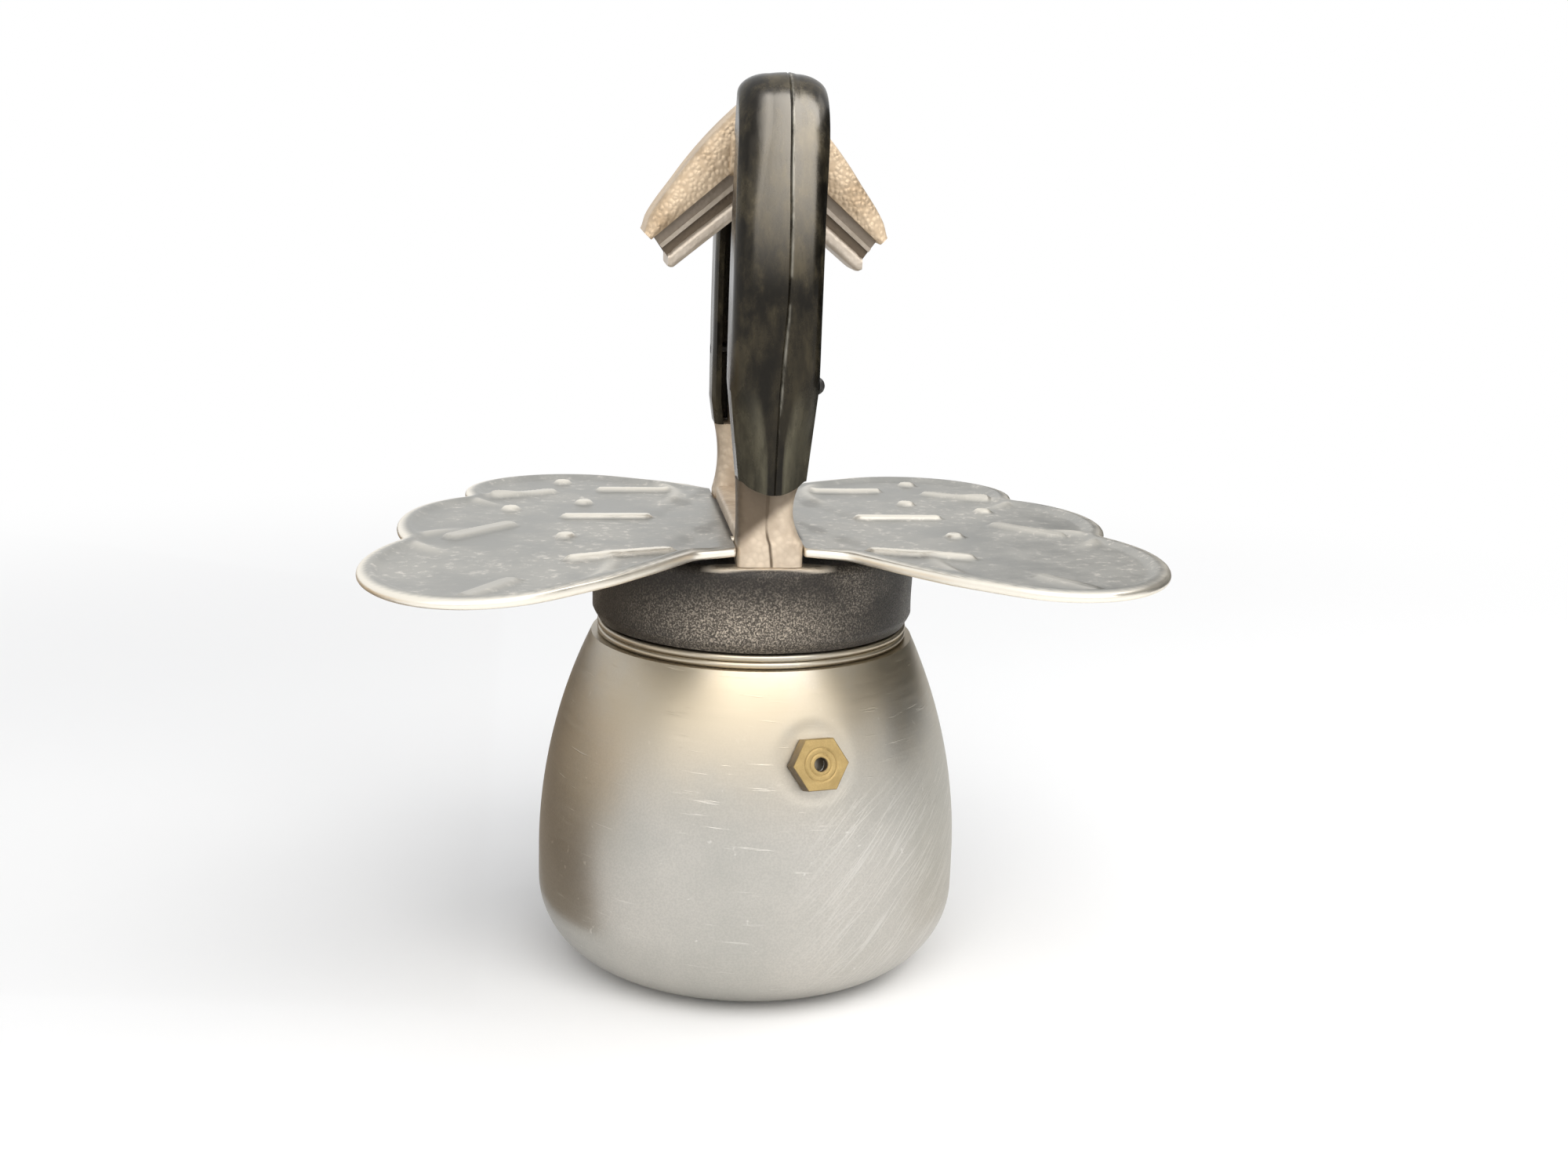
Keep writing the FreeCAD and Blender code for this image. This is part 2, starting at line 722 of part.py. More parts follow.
def make_arch_frame():
    """Ridge, feet, legs and crown in one casting, with the coffee's way bored through it."""
    legs = loop_band(leg_inset, leg_back, collar_top + foot_block_height, leg_half_width)
    inner_face = loop_half_width - leg_back
    ridge = block(V(-ridge_half_width, -inner_face, collar_top), V(ridge_half_width, inner_face, ridge_top))
    body = joined([ridge, make_foot(-1), make_foot(1), legs])
    cuts = []
    for side in (-1, 1):
        groove_bottom = ridge_half_width - tab_depth - tray_fit
        x_low, x_high = sorted((side * groove_bottom, side * 2 * ridge_half_width))
        cuts.append(block(V(x_low, -tab_half_length - tray_fit, tray_bottom - tray_fit),
                          V(x_high, tab_half_length + tray_fit, tray_top + tray_fit)))
    bore_edges = loop_side(bore_inset, web_under + port_rise)[0]
    start = bore_edges[0].Vertexes[0].Point
    section = Part.Wire(Part.makeCircle(bore_radius, start, Z_AXIS))
    cuts.append(Part.Wire(bore_edges).makePipeShell([section], True, False))
    cuts += [port_drill(side, port_radius) for side in (-1, 1)]
    outlet_foot = crown_under - outlet_radius
    outlet_length = crown_height(bore_inset, 0.0) - outlet_foot
    cuts.append(rod(V(0, 0, outlet_foot), Z_AXIS, outlet_radius, outlet_length))
    pocket = port_seal_outer + port_seal_clearance
    for side in (-1, 1):
        cuts.append(rod(V(0, side * port_crossing(), collar_top), Z_AXIS, pocket, port_seal_thickness))
    for place in screw_places():
        cuts.append(rod(place, Z_AXIS, frame_screw_radius + screw_clearance, frame_screw_length))
    cuts += [rod(place, Z_AXIS, tray_rivet_radius, length) for place, length in tray_rivet_places()]
    for side in (-1, 1):
        cuts.append(rod(V(-2 * leg_half_width, side * (loop_half_width - rivet_inset), grip_rivet_z), X_AXIS,
                        grip_rivet_radius, 4 * leg_half_width))
    cuts.append(make_spout_pin())
    return body.cut(cuts)


# Cup tray

def tray_rivet_places():
    """Foot and length of each rivet through the ridge's lips and the wings' tabs."""
    x = ridge_half_width - tab_depth / 2
    length = ridge_height - tray_rivet_skin
    return [(V(sx * x, sy * tray_rivet_spacing / 2, collar_top), length) for sx in (-1, 1) for sy in (-1, 1)]


def make_tray_rivets():
    """Four plain pins that hold the wings in the ridge's grooves."""
    return Part.makeCompound([rod(place, Z_AXIS, tray_rivet_radius, length)
                              for place, length in tray_rivet_places()])


def lobe_face(centre, size):
    """Flat elliptical face of one lobe."""
    x, y = centre
    across, along = size
    middle = V(x, y, tray_bottom)
    if across >= along:
        edge = Part.Ellipse(middle + V(across, 0, 0), middle + V(0, along, 0), middle).toShape()
    else:
        edge = Part.Ellipse(middle + V(0, along, 0), middle - V(across, 0, 0), middle).toShape()
    return Part.Face(Part.Wire(edge))


def lobe_point(centre, size, degrees):
    """Point on a lobe's edge at an angle from +X."""
    turn = math.radians(degrees)
    return (centre[0] + size[0] * math.cos(turn), centre[1] + size[1] * math.sin(turn))


def emboss_bar(start, end):
    """Raised bar with round ends between two points of the wing."""
    a = V(start[0], start[1], tray_top)
    b = V(end[0], end[1], tray_top)
    along = (b - a).normalize()
    across = V(-along.y, along.x, 0) * (bar_width / 2)
    back = along * (bar_width / 2)
    edges = [line(a + across, b + across), arc(b + across, b + back, b - across),
             line(b - across, a - across), arc(a - across, a - back, a + across)]
    return Part.Face(Part.Wire(edges)).extrude(V(0, 0, emboss_height))


bar_ends = [((16.2, 30.0), (29.3, 30.0)), ((21.6, 1.0), (37.0, 1.0)), ((19.0, -32.0), (35.7, -37.0)),
            ((40.8, 27.2), (50.7, 21.5)), ((48.5, -6.3), (57.7, -15.5)), ((46.5, -52.0), (52.5, -61.0))]
dot_places = [(37.6, 38.0), (33.5, 15.7), (37.3, -17.1), (48.2, 8.0)]


def make_tray_wing(side):
    """Stamped wing with three lobes, a tab in the ridge's groove, and raised bars and dots."""
    foot_edge = foot_half_width + tray_foot_gap
    front_tangent = lobe_point(front_lobe, front_lobe_size, front_tangent_turn)
    back_tangent = lobe_point(back_lobe, back_lobe_size, back_tangent_turn)
    tab_edge = ridge_half_width - tab_depth
    web_points = [(foot_edge, front_root), front_bend, front_tangent, front_lobe, middle_lobe, back_lobe,
                  back_tangent, back_bend, (foot_edge, back_root), (foot_edge, tab_half_length),
                  (tab_edge, tab_half_length), (tab_edge, -tab_half_length), (foot_edge, -tab_half_length)]
    web = Part.Face(polygon([V(x, y, tray_bottom) for x, y in web_points]))
    lobes = [lobe_face(front_lobe, front_lobe_size), lobe_face(middle_lobe, middle_lobe_size),
             lobe_face(back_lobe, back_lobe_size)]
    sheet = web.fuse(lobes).removeSplitter().extrude(V(0, 0, tray_thickness))
    raised = [emboss_bar(start, end) for start, end in bar_ends]
    raised += [rod(V(x, y, tray_top), Z_AXIS, dot_radius, emboss_height) for x, y in dot_places]
    wing = joined([sheet.Solids[0]] + raised)
    holes = []
    for place, length in tray_rivet_places():
        if place.x > 0:
            holes.append(rod(place, Z_AXIS, tray_rivet_radius, length))
    wing = wing.cut(holes)
    if side < 0:
        wing = wing.mirror(V(0, 0, 0), X_AXIS)
    return wing


# Spouts

def hood_levels():
    """Heights of the hood's shoulder, tip, hub underside and slope end."""
    return (crown_under + hood_rise, crown_under - hood_tip_drop, crown_under - hub_drop,
            crown_under - hood_slope_drop)


def mirrored(points):
    """Closed outline from the right half's (x, z) points, middle first and last."""
    return list(points) + [(-x, z) for x, z in reversed(points) if x > 0]


def roof_curve(inset, steps=8):
    """Points of the hood's bulged upper edge, from its shoulder out to its tip, moved in by an inset."""
    shoulder_z, tip_z = hood_levels()[:2]
    start = V(hood_shoulder, 0, shoulder_z - hood_shoulder_round)
    end = V(hood_reach, 0, tip_z)
    along = (end - start).normalize()
    out = V(-along.z, 0, along.x)
    points = []
    for step in range(steps + 1):
        share = step / steps
        bulge = hood_bulge * 4 * share * (1 - share)
        point = start + (end - start) * share + out * (bulge - inset)
        points.append((point.x, point.z))
    return points


def make_spout_hood():
    """Roof over both spouts, hollow under its arms, with cheeks either side of the crown."""
    shoulder_z, tip_z, hub_z, slope_z = hood_levels()
    slope_x = hood_reach - hood_tip_height / 2
    half = [(0, shoulder_z), (grip_half_width, shoulder_z)] + roof_curve(0.0)
    half += [(hood_reach, tip_z - hood_tip_height / 2), (slope_x, slope_z), (hub_half_width, hub_z),
             (0, hub_z)]
    body = slab_xz(mirrored(half), -hood_half_depth, hood_half_depth)
    under_roof = [point for point in roof_curve(hood_wall) if point[0] > hub_half_width]
    pocket = [(hub_half_width, under_roof[0][1])] + under_roof
    pocket += [(slope_x, slope_z - hood_wall), (slope_x - hood_wall, slope_z - 2 * hood_wall),
               (hub_half_width, hub_z - hood_wall)]
    inner_half = hood_half_depth - hood_wall
    cuts = [slab_xz([(sign * x, z) for x, z in pocket], -inner_half, inner_half) for sign in (-1, 1)]
    cuts.append(loop_band(-leg_back, leg_back + grip_fit, collar_top, leg_half_width + grip_fit))
    cuts.append(rod(V(0, 0, hub_z - hood_wall), Z_AXIS, outlet_radius, crown_under - hub_z + 2 * hood_wall))
    cuts += [screw_rod(side, spout_screw_radius + screw_clearance) for side in (-1, 1)]
    cuts.append(make_spout_pin())
    return body.cut(cuts)


trough_hub = crown_under - trough_hub_drop
trough_under = trough_hub - trough_thickness


def screw_rod(side, radius):
    """Shank of one spout screw, from the trough's underside up into the hub."""
    top = crown_under - hub_drop + spout_screw_bite
    return rod(V(side * spout_screw_offset, 0, trough_under), Z_AXIS, radius, top - trough_under)


def make_spout_screws():
    """Two small round-headed screws that hold the trough under the hood."""
    screws = []
    for side in (-1, 1):
        head_foot = V(side * spout_screw_offset, 0, trough_under - spout_screw_radius)
        head = rod(head_foot, Z_AXIS, spout_screw_head, spout_screw_radius)
        screws.append(joined([screw_rod(side, spout_screw_radius), head]))
    return Part.makeCompound(screws)


def make_spout_trough():
    """Roof-shaped floor of both spouts with two low walls that meet the hood."""
    hub_z, slope_z = hood_levels()[2:]
    slope_x = hood_reach - hood_tip_height / 2
    tip_z = crown_under - trough_tip_drop
    floor = [(0, trough_hub), (hub_half_width, trough_hub), (trough_reach, tip_z),
             (trough_reach - trough_tip_cut, tip_z - trough_thickness),
             (hub_half_width - trough_hub_cut, trough_under), (0, trough_under)]
    body = slab_xz(mirrored(floor), -hood_half_depth, hood_half_depth)
    wall = [(0, hub_z), (hub_half_width, hub_z), (slope_x, slope_z), (trough_reach, tip_z),
            (trough_reach - trough_tip_cut, tip_z - trough_thickness / 2),
            (hub_half_width, trough_hub - trough_thickness / 2), (0, trough_hub - trough_thickness / 2)]
    outer = hood_half_depth - trough_inset
    for side in (-1, 1):
        y_low, y_high = sorted((side * (outer - trough_wall), side * outer))
        body = joined([body, slab_xz(mirrored(wall), y_low, y_high)])
    for side in (-1, 1):
        foot = V(side * spout_screw_offset, 0, trough_hub - trough_thickness / 2)
        body = joined([body, rod(foot, Z_AXIS, spout_column_radius, hub_z - foot.z)])
    return body.cut([screw_rod(side, spout_screw_radius + screw_clearance) for side in (-1, 1)])


def make_spout_pin():
    """Cross pin through the hood's cheeks and the crown."""
    half = leg_half_width + spout_pin_bite
    return rod(V(-half, 0, crown_height(rivet_inset, 0.0)), X_AXIS, spout_pin_radius, 2 * half)


# Grip

def grip_front(inset, bottom_bulge):
    """Front outline of the grip, tapered towards its rounded ends, moved in by an inset."""
    wide = grip_half_width - inset
    narrow = grip_foot_half_width - inset
    taper = collar_top + grip_taper_height
    top = loop_top + grip_wall
    low = grip_end - (inset if bottom_bulge == 0 else 0)
    corners = [V(narrow, 0, low), V(wide, 0, taper), V(wide, 0, top), V(-wide, 0, top), V(-wide, 0, taper),
               V(-narrow, 0, low)]
    edges = [line(a, b) for a, b in zip(corners, corners[1:])]
    if bottom_bulge > 0:
        edges.append(arc(corners[-1], V(0, 0, low - bottom_bulge), corners[0]))
    else:
        edges.append(line(corners[-1], corners[0]))
    prism = Part.Face(Part.Wire(edges)).extrude(V(0, 4 * loop_half_width, 0))
    prism.translate(V(0, -2 * loop_half_width, 0))
    return prism


def s_bend(start_x, start_y, end_x, end_y):
    """Two equal arcs that lead from one line along Y to another, seen from above."""
    across = end_x - start_x
    along = end_y - start_y
    radius = (across ** 2 + along ** 2) / (4 * abs(across))
    quarter = math.asin(abs(along) / (2 * radius)) / 2
    step_x = math.copysign(radius * (1 - math.cos(quarter)), across)
    step_y = math.copysign(radius * math.sin(quarter), along)
    start = V(start_x, start_y, 0)
    end = V(end_x, end_y, 0)
    middle = (start + end) * 0.5
    step = V(step_x, step_y, 0)
    return [arc(start, start + step, middle), arc(middle, end - step, end)]


def grip_plan(inset):
    """Tall prism of the grip's plan, wide at both legs and narrow along the crown, moved in by an inset."""
    front = grip_half_width - inset
    back = grip_back_half_width - inset
    crown = grip_crown_half_width - inset
    leg = loop_half_width - grip_depth
    hood = hood_half_depth + grip_crown_margin
    y = loop_half_width
    edges = [line(V(back, y, 0), V(-back, y, 0)), line(V(-front, -y, 0), V(front, -y, 0))]
    for sign in (-1, 1):
        edges.append(line(V(sign * front, -y, 0), V(sign * front, -leg, 0)))
        edges += s_bend(sign * front, -leg, sign * crown, -hood)
        edges.append(line(V(sign * crown, -hood, 0), V(sign * crown, hood, 0)))
        edges += s_bend(sign * crown, hood, sign * back, leg)
        edges.append(line(V(sign * back, leg, 0), V(sign * back, y, 0)))
    outline = Part.Wire(Part.sortEdges(edges)[0])
    return Part.Face(outline).extrude(V(0, 0, 2 * loop_top))


def outer_edges(shape):
    """Long edges where the grip's outer face meets its sides."""
    found = []
    for edge in shape.Edges:
        middle = edge.valueAt((edge.FirstParameter + edge.LastParameter) / 2)
        points = [vertex.Point for vertex in edge.Vertexes] + [middle]
        if all(abs(p.x) > waist_half_width and on_outer_face(p) for p in points):
            found.append(edge)
    return found


def on_outer_face(point):
    """Whether a point lies on the loop's outer outline."""
    outline = Part.Wire(loop_side(0.0, 0.0)[0])
    tolerance = 1e-4
    return outline.distToShape(Part.Vertex(V(0, point.y, point.z)))[0] < tolerance


def grip_rivet_lines():
    """Axis height and offset of the two cross rivets."""
    return [V(0, side * (loop_half_width - rivet_inset), grip_rivet_z) for side in (-1, 1)]


def grip_half_width_at(y, height):
    """Half the width of the front or the back leg's grip at a height."""
    taper = collar_top + grip_taper_height
    rise = min(1.0, max(0.0, (height - grip_end) / (taper - grip_end)))
    front_view = grip_foot_half_width + (grip_half_width - grip_foot_half_width) * rise
    return min(front_view, grip_half_width if y < 0 else grip_back_half_width)


def make_grip():
    """Whole grip: a channel round the legs and crown, open on the inside of the loop."""
    lowest = grip_end - 2 * grip_end_bulge
    outside = loop_band(0.0, grip_depth, lowest, grip_half_width).common(grip_plan(0.0))
    outside = outside.makeFillet(grip_round, outer_edges(outside))
    outside = outside.common(grip_front(0.0, grip_end_bulge))
    channel = loop_band(grip_wall, grip_depth + grip_rim, lowest, grip_half_width)
    channel = channel.common(grip_front(grip_side_wall, 0)).common(grip_plan(grip_side_wall))
    hollow = outside.cut(channel)
    side_wall_foot = loop_band(grip_wall, grip_depth + grip_rim, lowest - 1, grip_half_width)
    below = block(V(-2 * grip_half_width, -2 * loop_half_width, lowest - 1),
                  V(2 * grip_half_width, 2 * loop_half_width, grip_end))
    hollow = hollow.cut(side_wall_foot.common(below))
    for place in grip_rivet_lines():
        for sign in (-1, 1):
            length = grip_half_width_at(place.y, place.z) - grip_side_wall / 2 - leg_half_width - grip_fit
            start = V(sign * (leg_half_width + grip_fit), place.y, place.z)
            hollow = joined([hollow, rod(start, X_AXIS * sign, grip_boss_radius, length)])
    cuts = [rod(V(-2 * grip_half_width, place.y, place.z), X_AXIS, grip_rivet_radius, 4 * grip_half_width)
            for place in grip_rivet_lines()]
    shoulder_z = hood_levels()[0]
    gap = hood_half_depth + grip_fit
    cuts.append(block(V(-2 * grip_half_width, -gap, crown_under - grip_depth),
                      V(2 * grip_half_width, gap, shoulder_z + grip_fit)))
    return hollow.cut(cuts)


def make_grip_half(whole, side):
    """One half of the grip, split down the middle of its outer face."""
    far = 2 * loop_top
    x_low, x_high = sorted((0, side * far))
    return whole.common(block(V(x_low, -far, 0), V(x_high, far, far)))


def make_grip_rivets():
    """Two cross rivets, flush on the left and with a domed head on the right."""
    rivets = []
    for place in grip_rivet_lines():
        half = grip_half_width_at(place.y, place.z + grip_rivet_head)
        shank = rod(V(-half, place.y, place.z), X_AXIS, grip_rivet_radius, 2 * half)
        ball = (grip_rivet_head ** 2 + grip_rivet_dome ** 2) / (2 * grip_rivet_dome)
        seat = V(half, place.y, place.z)
        dome = Part.makeSphere(ball, seat + X_AXIS * (grip_rivet_dome - ball))
        reach = V(0, 2 * ball, 2 * ball)
        head = dome.common(block(seat - reach, seat + reach + X_AXIS * (2 * ball)))
        rivets.append(joined([shank, head]))
    return Part.makeCompound(rivets)


os.makedirs("parts", exist_ok=True)
save("boiler", make_boiler())
save("valve_body", make_valve_body())
save("valve_washer", make_valve_washer())
save("valve_seat", make_valve_seat())
save("valve_poppet", make_valve_poppet())
save("valve_spring", make_valve_spring())
save("funnel", make_funnel())
save("funnel_strainer", make_funnel_strainer())
save("gasket", make_gasket())
save("filter_plate", make_filter_plate())
save("collar", make_collar())
save("frame_screws", make_frame_screws())
save("port_seals", make_port_seals())
save("arch_frame", make_arch_frame())
save("tray_left_wing", make_tray_wing(-1))
save("tray_right_wing", make_tray_wing(1))
save("tray_rivets", make_tray_rivets())
save("spout_hood", make_spout_hood())
save("spout_trough", make_spout_trough())
save("spout_pin", make_spout_pin())
save("spout_screws", make_spout_screws())
grip = make_grip()
save("grip_left", make_grip_half(grip, -1))
save("grip_right", make_grip_half(grip, 1))
save("grip_rivets", make_grip_rivets())
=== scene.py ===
# %% [markdown]
# # A moka pot that pours straight into the cups
# Water boils in the bell-shaped boiler, climbs through the hollow loop handle and runs out of two spouts on
# to the cups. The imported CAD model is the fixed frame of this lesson: every surface made here is placed in
# the same coordinates, in metres, with +Z up and the front leg towards -Y.

# %% Load the frame and note its size
import math
import bmesh
import bpy
import numpy as np
from mathutils import Matrix, Vector


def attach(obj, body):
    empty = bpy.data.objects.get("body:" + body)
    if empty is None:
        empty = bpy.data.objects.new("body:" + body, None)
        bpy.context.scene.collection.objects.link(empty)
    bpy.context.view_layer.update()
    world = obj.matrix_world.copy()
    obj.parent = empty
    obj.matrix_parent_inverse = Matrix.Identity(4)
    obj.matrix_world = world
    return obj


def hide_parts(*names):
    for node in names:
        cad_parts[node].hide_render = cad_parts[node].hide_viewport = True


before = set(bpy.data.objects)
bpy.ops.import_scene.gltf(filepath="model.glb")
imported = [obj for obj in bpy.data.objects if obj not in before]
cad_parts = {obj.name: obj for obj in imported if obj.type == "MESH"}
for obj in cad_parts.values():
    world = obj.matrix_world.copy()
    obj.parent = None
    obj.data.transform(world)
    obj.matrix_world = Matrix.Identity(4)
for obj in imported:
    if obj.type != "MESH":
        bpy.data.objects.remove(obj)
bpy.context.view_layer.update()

# %% [markdown]
# ## From numbers to meshes
# Each piece below is one or more grids of points: rows run one way over the surface, columns the other.
# Modelling by hand or with modifiers would also work, but a formula keeps every edge where the CAD has it.
# The helper joins the grids, merges points that fall together at seams and poles, and turns the faces out.

# %% Grid helpers
MM = 0.001
MERGE_STEPS = 1000.0
MERGE_SHIFT = 0.137


def grid_faces(rows, columns):
    """Corner numbers of each four-sided face of a grid: a point, its right neighbour, and the two below."""
    first = np.arange((rows - 1) * columns).reshape(rows - 1, columns)[:, :-1].ravel()
    return np.stack([first, first + 1, first + columns + 1, first + columns], axis=1)


def merge_points(points, faces):
    """Points that round to the same thousandth of a millimetre become one; faces lose repeated corners.

    The shift keeps plain sizes, such as halves, away from the limits between two steps.
    """
    keys = np.round(points * MERGE_STEPS + MERGE_SHIFT).astype(np.int64)
    kept, index = np.unique(keys, axis=0, return_index=True, return_inverse=True)[1:]
    corners = index.reshape(-1)[faces]
    distinct = corners != np.roll(corners, -1, axis=1)
    whole = distinct.all(axis=1)
    others = zip(corners[~whole], distinct[~whole])
    narrow = [row[keep].tolist() for row, keep in others if keep.sum() > 2]
    return kept, corners[whole].tolist() + narrow


def build_piece(name, patches, finish, body, stands_for, sharp=35.0, marks=None):
    """Join grids of points in millimetres into one mesh in metres, with optional marks on its points."""
    points = np.concatenate([patch.reshape(-1, 3) for patch in patches])
    sizes = [patch.shape[0] * patch.shape[1] for patch in patches]
    starts = np.cumsum([0] + sizes[:-1])
    grids = [grid_faces(*patch.shape[:2]) + start for patch, start in zip(patches, starts)]
    faces = np.concatenate(grids)
    kept, polygons = merge_points(points, faces)
    mesh = bpy.data.meshes.new(name)
    mesh.from_pydata((points[kept] * MM).tolist(), [], polygons)
    for mark, values in (marks or {}).items():
        layer = mesh.attributes.new(mark, "FLOAT", "POINT")
        flat = np.concatenate([np.asarray(value, float).ravel() for value in values])
        layer.data.foreach_set("value", flat[kept].astype(np.float32))
    turned_out = bmesh.new()
    turned_out.from_mesh(mesh)
    bmesh.ops.recalc_face_normals(turned_out, faces=turned_out.faces)
    turned_out.to_mesh(mesh)
    turned_out.free()
    mesh.shade_smooth()
    mesh.set_sharp_from_angle(angle=math.radians(sharp))
    mesh.materials.append(finish)
    piece = bpy.data.objects.new(name, mesh)
    bpy.context.scene.collection.objects.link(piece)
    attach(piece, body)
    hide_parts(*stands_for)
    print(name, "faces", len(mesh.polygons))


def ease(value, low, high):
    """Smooth step: 0 below low, 1 above high, and three squares less two cubes of the share between."""
    share = np.clip((value - low) / (high - low), 0.0, 1.0)
    return share * share * (3.0 - 2.0 * share)


def drift(a, b, seed):
    """Slow unevenness between about -1 and 1: four sine waves of two parameters, set apart by a seed."""
    waves = []
    for k in range(4):
        phase = a * (1.0 + 0.7 * k) + b * (0.8 + 0.45 * k) * (-1) ** k + seed * (1.3 + k)
        waves.append(np.sin(phase) / (1 + 0.5 * k))
    return sum(waves) / 2.2


# %% [markdown]
# ## Two ways to carry a shape
# A turned piece is a profile of radius and height that goes once round the axis. A thin piece is a shell:
# an outer and an inner grid with the same rows and columns, joined by strips along their four borders.

# %% Profiles, turned surfaces and shells
def run(start, end, count):
    """Straight run of profile points, the last one left to the next run."""
    share = np.linspace(0.0, 1.0, count, endpoint=False)[:, None]
    return np.asarray(start, float) * (1 - share) + np.asarray(end, float) * share


def bend(centre, radius, start, end, count):
    """Profile points on a circle: the centre plus the radius times the cosine and sine of each angle."""
    turn = np.radians(np.linspace(start, end, count))[:, None]
    return np.asarray(centre, float) + radius * np.concatenate([np.cos(turn), np.sin(turn)], axis=1)


def turned(radius, height, angles):
    """Radius times cosine and sine of every angle, at each height of the profile."""
    radius = np.broadcast_to(radius, (len(height), len(angles)))
    height = np.broadcast_to(height[:, None], radius.shape)
    return np.stack([radius * np.cos(angles), radius * np.sin(angles), height], axis=2)


def shell(outer, inner):
    """Outer and inner grids, and the strips that join their four borders."""
    strips = [np.stack([outer[0], inner[0]]), np.stack([outer[-1], inner[-1]]),
              np.stack([outer[:, 0], inner[:, 0]]), np.stack([outer[:, -1], inner[:, -1]])]
    return [outer, inner] + strips


def oval(turn, half_wide, half_high, power):
    """Rounded rectangle in polar form: reach is one over the root of summed powers of cosine and sine."""
    wide, high = np.cos(turn), np.sin(turn)
    reach = (np.abs(wide / half_wide) ** power + np.abs(high / half_high) ** power) ** (-1 / power)
    return reach * wide, reach * high


def rounded_block(low, high, power=0.22, rows=33, columns=64):
    """Superellipsoid: half sizes times powers of the cosines and sines of a latitude and a longitude."""
    low, high = np.asarray(low, float), np.asarray(high, float)
    latitude = np.linspace(-math.pi / 2, math.pi / 2, rows)[:, None]
    longitude = np.linspace(-math.pi, math.pi, columns + 1)[None, :]

    def swell(wave):
        return np.sign(wave) * np.abs(wave) ** power

    x = swell(np.cos(latitude)) * swell(np.cos(longitude))
    y = swell(np.cos(latitude)) * swell(np.sin(longitude))
    z = swell(np.sin(latitude)) * np.ones_like(longitude)
    unit = np.stack([x, y, z], axis=2)
    return (low + high) / 2 + unit * (high - low) / 2


# %% [markdown]
# ## Finishes
# Every finish is a Principled shader fed by a few texture nodes on Object coordinates, so it stays in place
# on the exported model. Photographs wrapped on the surface would be quicker, but they hold one light only.

# %% A small builder for node finishes
class Finish:
    """One material: its shader, and short calls that add and join texture nodes."""

    def __init__(self, name, colour, metallic, roughness):
        self.material = bpy.data.materials.new(name)
        self.material.use_nodes = True
        self.tree = self.material.node_tree
        self.shader = self.tree.nodes["Principled BSDF"]
        self.feed("Base Color", (*colour, 1.0))
        self.feed("Metallic", metallic)
        self.feed("Roughness", roughness)
        self.material.diffuse_color = (*colour, 1.0)

    def feed(self, socket, value):
        """Set a socket of the shader, or link another node to it."""
        self.join(self.shader.inputs[socket], value)

    def join(self, socket, value):
        """Link a node's output to a socket, or write a plain value into it."""
        if isinstance(value, bpy.types.NodeSocket):
            self.tree.links.new(value, socket)
        else:
            socket.default_value = value

    def add(self, kind, inputs, **settings):
        """Add a node, choose its settings, and fill its inputs by name or number."""
        node = self.tree.nodes.new("ShaderNode" + kind)
        for key, value in settings.items():
            setattr(node, key, value)
        for key, value in inputs.items():
            self.join(node.inputs[key], value)
        return node

    def place(self, stretch=(1, 1, 1), turn=(0, 0, 0)):
        """Object coordinates, turned and then stretched."""
        where = self.add("TexCoord", {}).outputs["Object"]
        scale = tuple(1.0 / part for part in stretch)
        return self.add("Mapping", {"Vector": where, "Scale": scale, "Rotation": turn},
                        vector_type="TEXTURE").outputs["Vector"]

    def grain(self, vector, scale, detail=4.0, rough=0.55):
        """Cloudy noise between 0 and 1."""
        return self.add("TexNoise", {"Vector": vector, "Scale": scale, "Detail": detail,
                                     "Roughness": rough}).outputs["Fac"]

    def cells(self, vector, scale):
        """Distance to the nearest of many scattered points."""
        return self.add("TexVoronoi", {"Vector": vector, "Scale": scale}).outputs["Distance"]

    def span(self, value, low, high, first=0.0, last=1.0):
        """Smoothly map a range of values to another."""
        return self.add("MapRange", {"Value": value, "From Min": low, "From Max": high, "To Min": first,
                                     "To Max": last}, interpolation_type="SMOOTHSTEP").outputs["Result"]

    def work(self, operation, a, b):
        """One step of arithmetic."""
        return self.add("Math", {0: a, 1: b}, operation=operation).outputs["Value"]

    def mark(self, name):
        """A value stored on the mesh points."""
        return self.add("Attribute", {}, attribute_name=name).outputs["Fac"]

    def tint(self, share, first, last):
        """Mix two colours; a Mix node's colours are its inputs 6 and 7 and its output 2."""
        node = self.add("Mix", {"Factor": share}, data_type="RGBA")
        for number, value in ((6, first), (7, last)):
            linked = isinstance(value, bpy.types.NodeSocket)
            self.join(node.inputs[number], value if linked else (*value, 1.0))
        return node.outputs[2]

    def relief(self, height, depth, strength=1.0, under=None):
        """Bump from a height value, on top of another bump if one is given."""
        inputs = {"Height": height, "Distance": depth, "Strength": strength}
        if under is not None:
            inputs["Normal"] = under
        return self.add("Bump", inputs).outputs["Normal"]

    def show_mix(self, share, first, last):
        """Show a mix of two shaders in place of the first shader alone."""
        mixed = self.add("MixShader", {0: share, 1: first, 2: last}).outputs["Shader"]
        self.join(self.tree.nodes["Material Output"].inputs["Surface"], mixed)
